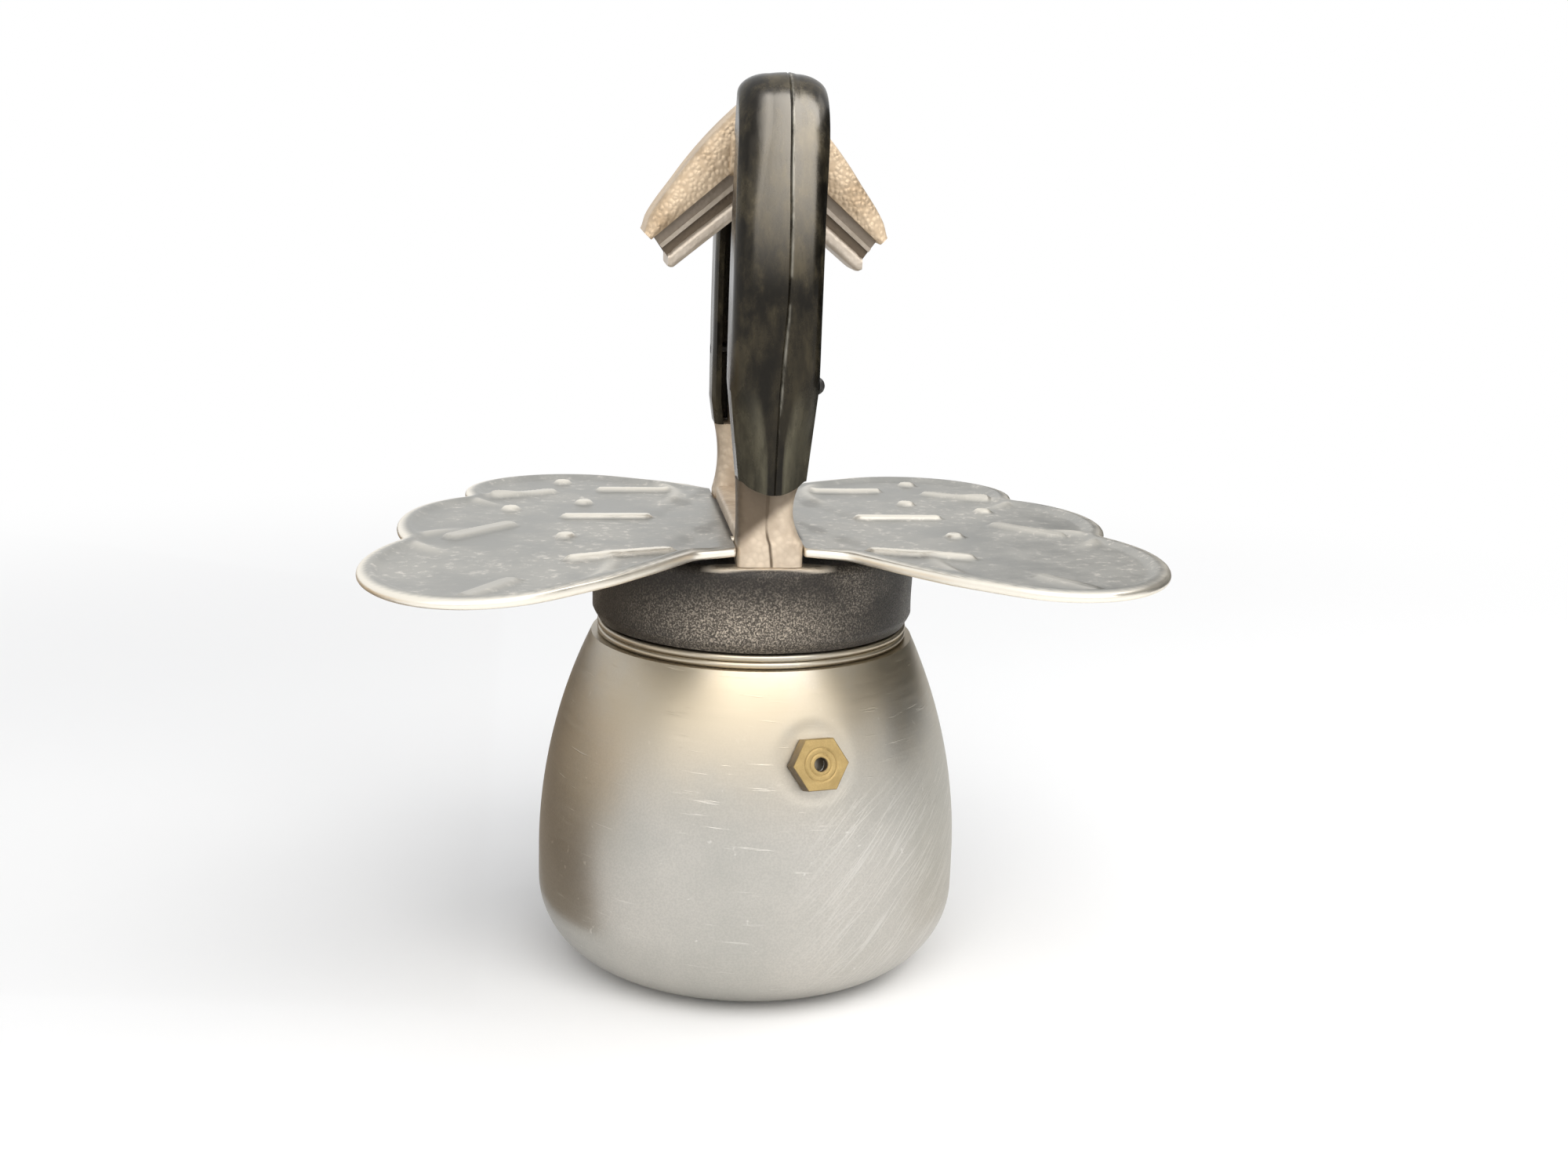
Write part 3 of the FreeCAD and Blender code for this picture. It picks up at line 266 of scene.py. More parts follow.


# %% [markdown]
# The boiler is spun and polished aluminium. Fine rings go round the axis, faint scratches cross them, and
# the metal is tinted a little warmer towards the neck, partly a stain and partly a painted warm reflection.
# Rings and scratches are noise that is squeezed along one direction, turned for the slanted scratches at
# the low right.

# %% Boiler finish
def boiler_finish():
    metal = Finish("boiler_satin_aluminium", (0.50, 0.475, 0.43), 1.0, 0.40)
    cloud = metal.grain(metal.place(), 34.0, 5.0)
    rings = metal.grain(metal.place(stretch=(1, 1, 50)), 40.0, 6.0, 0.7)
    directions = (((3, 3, 70), (0.0, 0.05, 0.0), 0.64), ((2, 2, 90), (0.0, -0.85, 0.1), 0.52),
                  ((2, 2, 70), (0.1, -0.60, 0.0), 0.56))
    thin = []
    for stretch, turn, low in directions:
        lines = metal.grain(metal.place(stretch=stretch, turn=turn), 30.0, 3.0, 0.6)
        thin.append(metal.span(lines, low, low + 0.12))
    level, steep, slant = thin
    parts = metal.add("SeparateXYZ", {"Vector": metal.place()}).outputs
    height = parts["Z"]
    low_right = metal.work("MULTIPLY", metal.span(parts["X"], 0.0, 0.022), metal.span(height, 0.052, 0.036))
    slanted = metal.work("MULTIPLY", metal.work("MAXIMUM", steep, slant), low_right)
    scratches = metal.work("MAXIMUM", level, slanted)
    dings = metal.span(metal.grain(metal.place(), 420.0, 2.0), 0.70, 0.76)
    # Stain and painted warm reflection: the metal is tinted warmer towards the neck.
    upper = metal.span(height, 0.034, 0.064)
    stain_and_painted_light = metal.work("MULTIPLY", upper, metal.span(cloud, 0.30, 0.62, 0.25, 1.0))
    colour = metal.tint(metal.span(cloud, 0.3, 0.7), (0.48, 0.468, 0.43), (0.57, 0.545, 0.50))
    speck = metal.grain(metal.place(), 2600.0, 2.0)
    speckled = metal.tint(metal.span(speck, 0.35, 0.65, 0.0, 0.3), colour, (0.37, 0.36, 0.335))
    wear_and_sheen = metal.tint(metal.work("MULTIPLY", scratches, 0.55), speckled, (0.72, 0.70, 0.66))
    marked = metal.tint(metal.work("MULTIPLY", dings, 0.5), wear_and_sheen, (0.80, 0.78, 0.74))
    metal.feed("Base Color", metal.tint(stain_and_painted_light, marked, (0.50, 0.435, 0.33)))
    rough = metal.span(rings, 0.25, 0.75, 0.32, 0.40)
    metal.feed("Roughness", metal.work("ADD", rough, metal.work("MULTIPLY", scratches, 0.06)))
    bumps = metal.relief(rings, 0.00003, 0.25)
    metal.feed("Normal", metal.relief(scratches, 0.00005, 0.5, bumps))
    return metal.material


# %% [markdown]
# The collar and the two grip halves are black. The collar's coat is coarse and sparkles where grains catch
# the light; the plastic is satin, rubbed olive-brown in patches, and pale along its raised parting line.
# A mark from 0 to 1 on the mesh carries a painted highlight on the collar's front and on the grip's facets,
# with some edge wear on the grip, and the finish mixes colours by it.

# %% Black finishes
def collar_finish():
    coat = Finish("collar_black_grain", (0.03, 0.024, 0.018), 0.0, 0.36)
    coat.feed("Specular IOR Level", 0.35)
    coarse = coat.grain(coat.place(), 2900.0, 3.0, 0.65)
    fine = coat.grain(coat.place(), 4200.0, 2.0)
    cloud = coat.grain(coat.place(), 60.0, 4.0, 0.6)
    # Painted highlight: the mark lights the grains on the collar's front; the cloudy patches elsewhere are
    # worn coat.
    wear_and_sheen = coat.work("MAXIMUM", coat.mark("wear_and_sheen"), coat.span(cloud, 0.45, 0.75, 0.06, 0.45))
    speck = coat.work("MULTIPLY", coat.span(coarse, 0.42, 0.72), wear_and_sheen)
    ground = coat.tint(wear_and_sheen, (0.012, 0.009, 0.0065), (0.060, 0.050, 0.039))
    grains = coat.tint(speck, ground, (0.66, 0.57, 0.46))
    bare = coat.mark("bare")
    coat.feed("Base Color", coat.tint(bare, grains, (0.74, 0.66, 0.55)))
    coat.feed("Metallic", coat.work("MAXIMUM", bare, coat.work("MULTIPLY", speck, 0.7)))
    coat.feed("Roughness", coat.span(fine, 0.3, 0.7, 0.30, 0.52))
    coat.feed("Normal", coat.relief(coarse, 0.0002, 0.6, coat.relief(fine, 0.0001, 0.5)))
    return coat.material


def grip_finish():
    plastic = Finish("grip_black_satin", (0.02, 0.019, 0.016), 0.0, 0.32)
    plastic.feed("Specular IOR Level", 0.30)
    plastic.feed("Specular Tint", (1.0, 0.93, 0.82, 1.0))
    patch = plastic.grain(plastic.place(stretch=(1, 1, 0.5)), 150.0, 6.0, 0.66)
    height = plastic.add("SeparateXYZ", {"Vector": plastic.place()}).outputs["Z"]
    streak = plastic.grain(plastic.place(stretch=(1, 1, 0.3)), 420.0, 4.0, 0.6)
    patches = plastic.span(patch, 0.40, 0.66)
    wear = plastic.work("MULTIPLY", patches, plastic.span(streak, 0.30, 0.70, 0.3, 1.0))
    faint = plastic.work("MULTIPLY", wear, plastic.span(height, 0.100, 0.150, 0.45, 1.0))
    body = plastic.tint(faint, (0.002, 0.0016, 0.001), (0.056, 0.045, 0.025))
    # Edge wear and painted highlight: the mark lightens the facets and their edges near the feet.
    rubbed_and_painted_highlight = plastic.work("MULTIPLY", plastic.mark("wear_and_sheen"), plastic.span(streak, 0.25, 0.65, 0.35, 1.0))
    body_with_sheen = plastic.tint(rubbed_and_painted_highlight, body, (0.12, 0.11, 0.075))
    line = plastic.work("MULTIPLY", plastic.mark("parting"), plastic.span(streak, 0.35, 0.62))
    plastic.feed("Base Color", plastic.tint(line, body_with_sheen, (0.21, 0.20, 0.17)))
    plastic.feed("Roughness", plastic.span(patch, 0.3, 0.75, 0.20, 0.32))
    plastic.feed("Normal", plastic.relief(streak, 0.00012, 0.30))
    return plastic.material


# %% [markdown]
# The tray is stamped sheet: dull and mottled in the pressed middle, bright and creamy on the rim and the
# raised bars, which are rubbed smoother and carry a painted highlight. The marks "rim" and "raised" come
# from the shape itself, so paint follows form.

# %% Sheet and casting finishes
def tray_finish():
    sheet = Finish("tray_dull_aluminium", (0.55, 0.55, 0.53), 1.0, 0.40)
    cloud = sheet.grain(sheet.place(), 60.0, 6.0, 0.66)
    spots = sheet.grain(sheet.place(), 520.0, 5.0, 0.65)
    dull = sheet.tint(sheet.span(cloud, 0.36, 0.64), (0.36, 0.358, 0.338), (0.465, 0.457, 0.428))
    wear_and_sheen = sheet.work("MULTIPLY", sheet.span(spots, 0.52, 0.68), sheet.span(cloud, 0.40, 0.62))
    specked = sheet.tint(wear_and_sheen, dull, (0.68, 0.65, 0.60))
    # Painted highlight on the rim and raised bars, where they are also a little smoother.
    rubbed_and_painted_highlight = sheet.work("MAXIMUM", sheet.mark("rim"), sheet.mark("raised"))
    shown = sheet.tint(rubbed_and_painted_highlight, specked, (0.92, 0.87, 0.77))
    # Painted shade: the mark darkens the sheet towards the root.
    sheet.feed("Base Color", sheet.tint(sheet.mark("painted_shade"), shown, (0.035, 0.028, 0.02)))
    rough = sheet.span(cloud, 0.3, 0.7, 0.38, 0.54)
    sheet.feed("Roughness", sheet.work("SUBTRACT", rough, sheet.work("MULTIPLY", rubbed_and_painted_highlight, 0.10)))
    sheet.feed("Normal", sheet.relief(spots, 0.00010, 0.45))
    return sheet.material


def casting_finish(name, dark, light, size, depth):
    """Pebbled casting of two colours, with a number of cells to a metre and their depth in metres."""
    metal = Finish(name, light, 0.55, 0.48)
    pebble = metal.cells(metal.place(), size)
    cloud = metal.grain(metal.place(), size * 0.12, 5.0, 0.6)
    mix = metal.work("MULTIPLY", metal.span(cloud, 0.25, 0.68), metal.span(pebble, 0.9, 0.2, 0.6, 1.0))
    clean = metal.tint(mix, dark, light)
    # Painted shade: the mark tints the casting dark brown on the feet, the trough walls and the valve head.
    metal.feed("Base Color", metal.tint(metal.mark("stain_and_painted_light"), clean, (0.10, 0.072, 0.046)))
    metal.feed("Roughness", metal.span(cloud, 0.3, 0.7, 0.40, 0.58))
    rounded = metal.span(pebble, 0.0, 0.75, 1.0, 0.0)
    metal.feed("Normal", metal.relief(rounded, depth, 0.45))
    return metal.material


# %% [markdown]
# The small fittings are brass, copper, steel, pressed aluminium and rubber. Each gets its own colour and
# grain: turned metal has fine lines, rubber has a soft matt skin.

# %% Fitting finishes
def fitting_finish(name, colour, metallic, roughness, size, depth):
    """Plain material with a cloudy colour and a fine grain, in cells to a metre and a depth in metres."""
    stuff = Finish(name, colour, metallic, roughness)
    cloud = stuff.grain(stuff.place(), size, 4.0)
    fine = stuff.grain(stuff.place(stretch=(1, 1, 8)), size * 5, 3.0)
    darker = tuple(0.72 * part for part in colour)
    stuff.feed("Base Color", stuff.tint(stuff.span(cloud, 0.3, 0.7), darker, colour))
    stuff.feed("Roughness", stuff.span(fine, 0.3, 0.7, roughness * 0.8, roughness * 1.25))
    stuff.feed("Normal", stuff.relief(fine, depth, 0.4))
    return stuff.material


boiler_satin = boiler_finish()
collar_black = collar_finish()
grip_black = grip_finish()
tray_dull = tray_finish()
spout_tan = casting_finish("spout_tan_casting", (0.41, 0.30, 0.19), (0.71, 0.57, 0.41), 1050.0, 0.00030)
trough_cream = casting_finish("trough_cream_casting", (0.50, 0.43, 0.35), (0.70, 0.62, 0.53), 1300.0,
                              0.00008)
frame_cream = casting_finish("frame_cream_casting", (0.44, 0.35, 0.26), (0.70, 0.59, 0.46), 800.0, 0.00016)
brass = fitting_finish("valve_brass", (0.80, 0.58, 0.27), 1.0, 0.27, 260.0, 0.00004)
# Painted shade: the washer's copper is coloured dark, to stand for the shadow ring round the valve.
copper_painted_shade = fitting_finish("washer_copper_painted_shade", (0.20, 0.15, 0.105), 1.0, 0.50, 300.0, 0.00004)
valve_brass = casting_finish("valve_faced_brass", (0.35, 0.245, 0.095), (0.48, 0.345, 0.145), 3200.0,
                             0.00002)
dull_brass = fitting_finish("poppet_dull_brass", (0.13, 0.085, 0.04), 1.0, 0.55, 260.0, 0.00004)
steel = fitting_finish("fastener_steel", (0.55, 0.54, 0.52), 1.0, 0.30, 300.0, 0.00004)
pressed = fitting_finish("pressed_aluminium", (0.66, 0.65, 0.63), 1.0, 0.36, 180.0, 0.00004)
rubber = fitting_finish("seal_rubber", (0.72, 0.68, 0.60), 0.0, 0.62, 220.0, 0.00006)
rivet_black = fitting_finish("rivet_black", (0.03, 0.028, 0.026), 0.0, 0.35, 400.0, 0.00004)
print("finishes", len(bpy.data.materials))

# %% [markdown]
# ## The boiler
# A bell with a rounded base, two beads and a threaded neck. One profile runs from the middle of the base up
# the outside and down the inside to the middle of the floor. On the neck the radius also depends on the
# angle: a tooth stands wherever the height matches the helix, which makes a real screw thread.

# %% Boiler surface
BOILER_RADIUS = 42.5
BOILER_WALL = 2.0
BOILER_FLOOR = 3.0
BASE_FLAT = 26.5
BASE_ROUND = 16.0
WALL_TOP = 22.0
SHOULDER_DROP = 10.3
SHOULDER_SPAN = 45.4
SHOULDER_TOP = WALL_TOP + SHOULDER_SPAN
SHOULDER_ARC = (SHOULDER_DROP ** 2 + SHOULDER_SPAN ** 2) / (2 * SHOULDER_DROP)
SHOULDER_TURN = math.degrees(math.asin(SHOULDER_SPAN / SHOULDER_ARC))
BEAD_MIDDLE = 30.3
BEAD_ROUND = 0.7
BEAD_TOP = 70.2
NECK_RADIUS = 27.0
NECK_BORE = 24.6
NECK_TOP = 79.6
VALVE_DEGREES = 13.0
VALVE_HEIGHT = 51.0
PITCH = 3.0
THREAD_START = 72.0


def thread_tooth(height, angles, phase):
    """Tooth height from 0 to 1: a flat-topped ridge round the helix whose height is the pitch per turn."""
    turns = height[:, None] / PITCH - angles[None, :] / (2 * math.pi) - phase
    away = np.abs(turns - np.round(turns)) * PITCH
    return np.clip((0.75 - away) / 0.4, 0.0, 1.0)


def boiler_surface():
    """Profile radius plus thread depth times the tooth, turned round Z."""
    arc_x = BOILER_RADIUS - SHOULDER_ARC
    inner_arc = SHOULDER_ARC - BOILER_WALL
    inner_turn = math.degrees(math.asin((SHOULDER_SPAN - BOILER_WALL) / inner_arc))
    inner_round = BASE_ROUND - BOILER_WALL
    floor_turn = math.degrees(math.asin((BASE_ROUND - BOILER_FLOOR) / inner_round))
    inner_radius = BOILER_RADIUS - BOILER_WALL
    outside = [run((0, 0), (BASE_FLAT, 0), 8), bend((BASE_FLAT, BASE_ROUND), BASE_ROUND, -90, 0, 28),
               run((BOILER_RADIUS, BASE_ROUND), (BOILER_RADIUS, WALL_TOP), 4),
               bend((arc_x, WALL_TOP), SHOULDER_ARC, 0, SHOULDER_TURN, 70),
               run((32.1, SHOULDER_TOP), (BEAD_MIDDLE, SHOULDER_TOP), 3),
               bend((BEAD_MIDDLE, 68.1), BEAD_ROUND, -90, 90, 11),
               bend((BEAD_MIDDLE, 69.5), BEAD_ROUND, -90, 90, 11),
               run((30.2, BEAD_TOP), (NECK_RADIUS, BEAD_TOP), 3),
               run((NECK_RADIUS, BEAD_TOP), (NECK_RADIUS, 79.1), 96),
               run((NECK_RADIUS, 79.1), (26.5, NECK_TOP), 2),
               run((26.5, NECK_TOP), (NECK_BORE, NECK_TOP), 3)]
    inside = [run((NECK_BORE, NECK_TOP), (NECK_BORE, 68.8), 4), run((NECK_BORE, 68.8), (30.6, 65.4), 4),
              bend((arc_x, WALL_TOP), inner_arc, inner_turn, 0, 20),
              run((inner_radius, WALL_TOP), (inner_radius, BASE_ROUND), 2),
              bend((BASE_FLAT, BASE_ROUND), inner_round, 0, -floor_turn, 10),
              run((21.3, BOILER_FLOOR), (0, BOILER_FLOOR), 4), np.array([[0.0, BOILER_FLOOR]])]
    profile = np.concatenate(outside + inside)
    radius, height = profile[:, 0], profile[:, 1]
    angles = np.linspace(0.0, 2 * math.pi, 241)
    count_out = sum(len(part) for part in outside)
    outer = (np.arange(len(radius)) < count_out)[:, None]
    wall = outer * ease(height, 4.0, 20.0)[:, None] * (1 - ease(height, 60.0, 67.0))[:, None]
    uneven = 0.045 * wall * (np.sin(2 * angles + height[:, None] / 17.0)
                             + 0.6 * np.sin(5 * angles - height[:, None] / 9.0))
    valve_angle = math.radians(270.0 + VALVE_DEGREES)
    round_valve = np.hypot(38.4 * (angles - valve_angle), height[:, None] - VALVE_HEIGHT)
    uneven = uneven - 0.22 * outer * (1 - ease(round_valve, 6.0, 8.6))
    threaded = ease(height, 71.2, 72.2) * (1 - ease(height, 77.6, 78.6)) * (radius < NECK_RADIUS + 0.01)
    teeth = outer * threaded[:, None] * thread_tooth(height - THREAD_START, angles, 0.0)
    return turned(radius[:, None] + uneven + teeth, height, angles)


build_piece("boiler_shell", [boiler_surface()], boiler_satin, "boiler", ["boiler"],
            sharp=32.0)

# %% [markdown]
# ## The collar
# A ring that screws on to the neck, cast with a small foot chamfer and a rounded top edge. It is turned
# like the boiler, with the matching thread standing inwards, half a pitch away from the neck's own.

# %% Collar surface
COLLAR_BOTTOM = 70.5
COLLAR_TOP = 87.0
COLLAR_RADIUS = 32.0
COLLAR_BORE = 28.3
SEAT_RADIUS = 27.0
SEAT_BOTTOM = 80.0
SEAT_TOP = 84.0


def collar_surface():
    """Profile radius less the thread's tooth on the bore, turned round Z, with a slight casting wave."""
    outside = [run((COLLAR_BORE, COLLAR_BOTTOM), (30.6, COLLAR_BOTTOM), 3),
               bend((30.6, 70.8), 0.3, -90, -25, 4), run((30.95, 70.85), (31.9, 72.4), 5),
               run((COLLAR_RADIUS, 72.7), (COLLAR_RADIUS, 85.0), 26), bend((30.0, 85.0), 2.0, 0, 90, 12),
               run((29.8, COLLAR_TOP), (20.0, COLLAR_TOP), 30), run((20.0, COLLAR_TOP), (0, COLLAR_TOP), 8)]
    inside = [run((0, COLLAR_TOP), (0, SEAT_TOP), 1), run((0, SEAT_TOP), (SEAT_RADIUS, SEAT_TOP), 4),
              run((SEAT_RADIUS, SEAT_TOP), (SEAT_RADIUS, SEAT_BOTTOM), 3),
              run((SEAT_RADIUS, SEAT_BOTTOM), (COLLAR_BORE, SEAT_BOTTOM), 2),
              run((COLLAR_BORE, SEAT_BOTTOM), (COLLAR_BORE, COLLAR_BOTTOM), 84),
              np.array([[COLLAR_BORE, COLLAR_BOTTOM]])]
    profile = np.concatenate(outside + inside)
    radius, height = profile[:, 0], profile[:, 1]
    angles = np.linspace(0.0, 2 * math.pi, 193)
    count_out = sum(len(part) for part in outside)
    inner = np.arange(len(radius)) >= count_out
    side = (~inner & (radius > 29.0))[:, None]
    swell = np.sin(3 * angles + height[:, None] / 3.0) + np.sin(7 * angles - height[:, None] / 2.0)
    wave = 0.05 * side * swell
    threaded = ease(height, 71.6, 72.4) * (1 - ease(height, 77.4, 78.4))
    bore = (inner & (radius > COLLAR_BORE - 0.3))[:, None] * threaded[:, None]
    teeth = bore * thread_tooth(height - THREAD_START, angles, 0.5)
    return turned(radius[:, None] + wave - teeth, height, angles)


collar_grid = collar_surface()
collar_x, collar_y, collar_z = np.moveaxis(collar_grid, 2, 0)
collar_turn = np.arctan2(collar_x, -collar_y)
# Painted highlight: a patch on the collar's front, below the front foot, where the grains are painted lit.
front_painted_highlight = np.exp(-((collar_turn + 0.14) / 0.62) ** 2) * np.exp(-((collar_z - 75.5) / 5.5) ** 2)
rubbed_away = np.hypot(collar_x / 12.5, (collar_y + 29.0) / 2.2)
bare_mark = (1 - ease(rubbed_away, 0.8, 1.05)) * (collar_z > COLLAR_TOP - 1.0)
build_piece("collar_ring", [collar_grid], collar_black, "top", ["collar"],
            marks={"bare": [bare_mark], "wear_and_sheen": [0.9 * front_painted_highlight]})

# %% [markdown]
# ## The loop's line
# Legs, crown and grip all follow one line: up the front, round a corner, along the crown that falls towards
# the back, round a wider corner and down. A section is carried along it, with its depth measured inwards.

# %% The loop's line
HALF_LOOP = 34.0
LOOP_TOP = 176.5
FALL = math.radians(12.0)
FRONT_CORNER = 14.0
BACK_CORNER = 18.0
GRIP_END = 103.3
LEAN_START = 122.0
LEAN_SHARE = 0.00034
front_centre = np.array([FRONT_CORNER - HALF_LOOP, LOOP_TOP - FRONT_CORNER])
back_y = HALF_LOOP - BACK_CORNER
back_drop = FRONT_CORNER - BACK_CORNER - (back_y - front_centre[0]) * math.sin(FALL)
back_centre = np.array([back_y, front_centre[1] + back_drop / math.cos(FALL)])


def loop_line(foot, leg_rows, corner_rows=18, crown_rows=49):
    """Outer line of the loop: its points (y, z), outward normals, and the share climbed along each leg."""
    crown_turn = 90.0 - math.degrees(FALL)
    front = bend(front_centre, FRONT_CORNER, 180, crown_turn, corner_rows)
    back = bend(back_centre, BACK_CORNER, crown_turn, 0, corner_rows)
    climb = np.linspace(0.0, 1.0, leg_rows, endpoint=False)
    up = np.stack([np.full(leg_rows, -HALF_LOOP), foot + climb * (front_centre[1] - foot)], axis=1)
    down = np.stack([np.full(leg_rows, HALF_LOOP), foot + climb[::-1] * (back_centre[1] - foot)], axis=1)
    crown = run(front[-1], back[0], crown_rows)[1:]
    points = np.concatenate([up, front, crown, back, down])
    turns = np.concatenate([np.full(leg_rows, 180.0), np.linspace(180, crown_turn, corner_rows),
                            np.full(crown_rows - 1, crown_turn), np.linspace(crown_turn, 0, corner_rows),
                            np.zeros(leg_rows)])
    normals = np.stack([np.cos(np.radians(turns)), np.sin(np.radians(turns))], axis=1)
    high = np.ones(2 * corner_rows + crown_rows - 1)
    return points, normals, np.concatenate([climb, high, climb[::-1]])


def carried(line, across, depth):
    """Point of the line, less the depth along its normal, at a distance across: one row to a station."""
    points, normals = line[0], line[1]
    y = points[:, :1] - normals[:, :1] * depth
    z = points[:, 1:] - normals[:, 1:] * depth
    return np.stack([np.broadcast_to(across, y.shape), y, z], axis=2)


def leaned(points):
    """Sideways lean of the handle as photographed: a small share of the height over the rivets, squared."""
    over_rivets = np.maximum(points[:, :, 2:] - LEAN_START, 0.0)
    return points + LEAN_SHARE * over_rivets ** 2 * np.array([1.0, 0.0, 0.0])


def crown_height(y):
    """Height of the crown's outer line: a straight fall that starts on the front corner's circle."""
    return front_centre[1] + (FRONT_CORNER - (y - front_centre[0]) * math.sin(FALL)) / math.cos(FALL)


print("crown height over the axis", round(float(crown_height(0.0)), 2))

# %% [markdown]
# ## The grip halves
# Each half is a shell: an outer skin from the parting line over the rounded edge and down the side, and an
# inner skin round the leg. The legs are wider than the crown, and near each foot the rounded edges turn
# into flat facets. Carrying a section along the loop keeps both skins in step, so the wall stays even.

# %% Grip sections
CROWN_HALF = 5.4
FRONT_LEG_HALF = 8.2
BACK_LEG_HALF = 7.0
GRIP_DEPTH = 12.5
GRIP_CEILING = 3.4
GRIP_WALL = 1.8
FACE_CROWN = 0.25
EDGE_DEPTH = 3.6
wall_share = np.linspace(0.0, 1.0, 14)[None, 1:]


def grip_half_width(points):
    """Half width of the grip: wide legs, a narrow crown, and a taper to each foot."""
    y, z = points[:, 0], points[:, 1]
    leg = np.where(y < 0, FRONT_LEG_HALF, BACK_LEG_HALF)
    plan = CROWN_HALF + (leg - CROWN_HALF) * ease(np.abs(y), 9.0, 21.5)
    taper = 6.3 + 1.9 * np.clip((z - GRIP_END) / 17.7, 0.0, 1.0)
    return np.minimum(plan, taper)


def grip_parting(points):
    """Offset of the parting line: it wanders to one side up the front leg, with a slight wave."""
    front, z = points[:, :1] < 0, points[:, 1:]
    parting = np.where(front, 1.5 * ease(z, 104.0, 140.0) * (1 - 0.45 * ease(z, 150.0, 172.0)), 0.0)
    return parting + 0.10 * np.sin(z / 5.3) * front


def grip_outer(points, side, width, start):
    """Outer widths and depths: a crowned face, a round or faceted edge, and a straight wall."""
    front, z = points[:, :1] < 0, points[:, 1:]
    facet = 1 - ease(z, 106.0, 127.0)
    rounding = 3.8 + 1.9 * ease(z, 148.0, 172.0) * (width > 6.0)
    panel = width - rounding - (width - 1.5 - rounding) * facet
    face = np.linspace(0.0, 1.0, 24)[None, :] ** 1.7
    edge = np.linspace(0.0, 1.0, 14)[None, 1:]
    quarter = edge * math.pi / 2
    face_x = start + (panel - start) * face
    face_d = FACE_CROWN * face ** 2 * np.ones_like(start)
    edge_x = panel + (width - panel) * ((1 - facet) * np.sin(quarter) + facet * edge)
    edge_d = FACE_CROWN + EDGE_DEPTH * ((1 - facet) * (1 - np.cos(quarter)) + facet * edge)
    wall_start = FACE_CROWN + EDGE_DEPTH
    wall_x = width - 0.7 * ease(wall_share, 0.86, 1.0)
    wall_d = wall_start + (GRIP_DEPTH - wall_start) * wall_share * np.ones_like(start)
    x = np.concatenate([face_x, edge_x, wall_x], axis=1)
    depth = np.concatenate([face_d, edge_d, wall_d], axis=1)
    ridge = np.exp(-((x - start - 0.30) / 0.22) ** 2) * front * (side > 0) * ease(z, 108.0, 116.0)
    # The wear mark is edge wear plus a painted highlight along the facets and their brinks.
    wall_wear = 1 - 0.5 * wall_share * np.ones_like(start)
    edges = np.concatenate([0 * face_d, np.ones_like(edge_d), wall_wear], axis=1)
    face_end = np.exp(-((1 - face) / 0.10) ** 2)
    brink = np.concatenate([face_end, np.exp(-(edge / 0.30) ** 2), 0 * wall_share], axis=1)
    wear_and_sheen = (0.30 * edges + 0.45 * brink) * ease(facet, 0.10, 0.75)
    grit = 0.55 + 0.45 * np.sin(z * 1.7) * np.sin(z * 0.61)
    groove = np.exp(-((x - start) / 0.14) ** 2)
    front_top = ease(z, 136.0, 167.0) * (1 - ease(points[:, :1], -33.0, -19.0))
    bow = 1.9 * front_top * (1 - ease(depth, 2.0, 6.0))
    return x, depth - 0.16 * ridge * grit + 0.22 * groove + bow, ridge, wear_and_sheen


def grip_inner(width, start):
    """Inner widths and depths: a level ceiling over the leg and a straight wall beside it."""
    half = width - GRIP_WALL
    ceiling_x = start + (half - start) * np.linspace(0.0, 1.0, 37)[None, :]
    wall_d = GRIP_CEILING + (GRIP_DEPTH - GRIP_CEILING) * wall_share * np.ones_like(start)
    x = np.concatenate([ceiling_x, np.broadcast_to(half, wall_d.shape)], axis=1)
    return x, np.concatenate([np.full_like(ceiling_x, GRIP_CEILING), wall_d], axis=1)


print("grip half width at the feet", grip_half_width(np.array([[-HALF_LOOP, GRIP_END]])))

# %% [markdown]
# Where the grip passes over the hood it gets shallower, so that the hood has room. At the front end the face
# reaches down in a tongue, and the back end sits a little higher.

# %% Grip halves
BACK_END_LIFT = 2.6
GRIP_OVER_HOOD = 169.0
LEAST_DEPTH = 3.45


def grip_skins(side):
    """Outer and inner skins of one half, as sections of width and depth carried along the loop's line."""
    line = loop_line(GRIP_END, 64)
    points, climb = line[0], line[2]
    y, z = points[:, :1], points[:, 1:]
    width = grip_half_width(points)[:, None]
    start = side * grip_parting(points)
    outer_x, outer_d, ridge, wear_and_sheen = grip_outer(points, side, width, start)
    inner_x, inner_d = grip_inner(width, start)
    over_hood = (np.abs(y) < 8.1) & (z > 160.0)
    room = (crown_height(y) - GRIP_OVER_HOOD) * math.cos(FALL)
    room = np.maximum(np.where(over_hood, room, GRIP_DEPTH), LEAST_DEPTH)
    outer_d = np.minimum(outer_d, room)
    inner_d = np.minimum(inner_d, room)
    tongue = -2.1 * (1 - (outer_x / width) ** 2) * (1 - ease(outer_d, 2.6, 3.9))
    lift = np.where(y < 0, 0.0, BACK_END_LIFT)
    skins = []
    for x, depth, end in ((outer_x, outer_d, tongue), (inner_x, inner_d, 0 * inner_d)):
        skin = carried(line, side * x, depth)
        skin[:, :, 2] += (end + lift) * (1 - climb[:, None]) ** 6
        skins.append(leaned(skin))
    return skins, ridge, wear_and_sheen


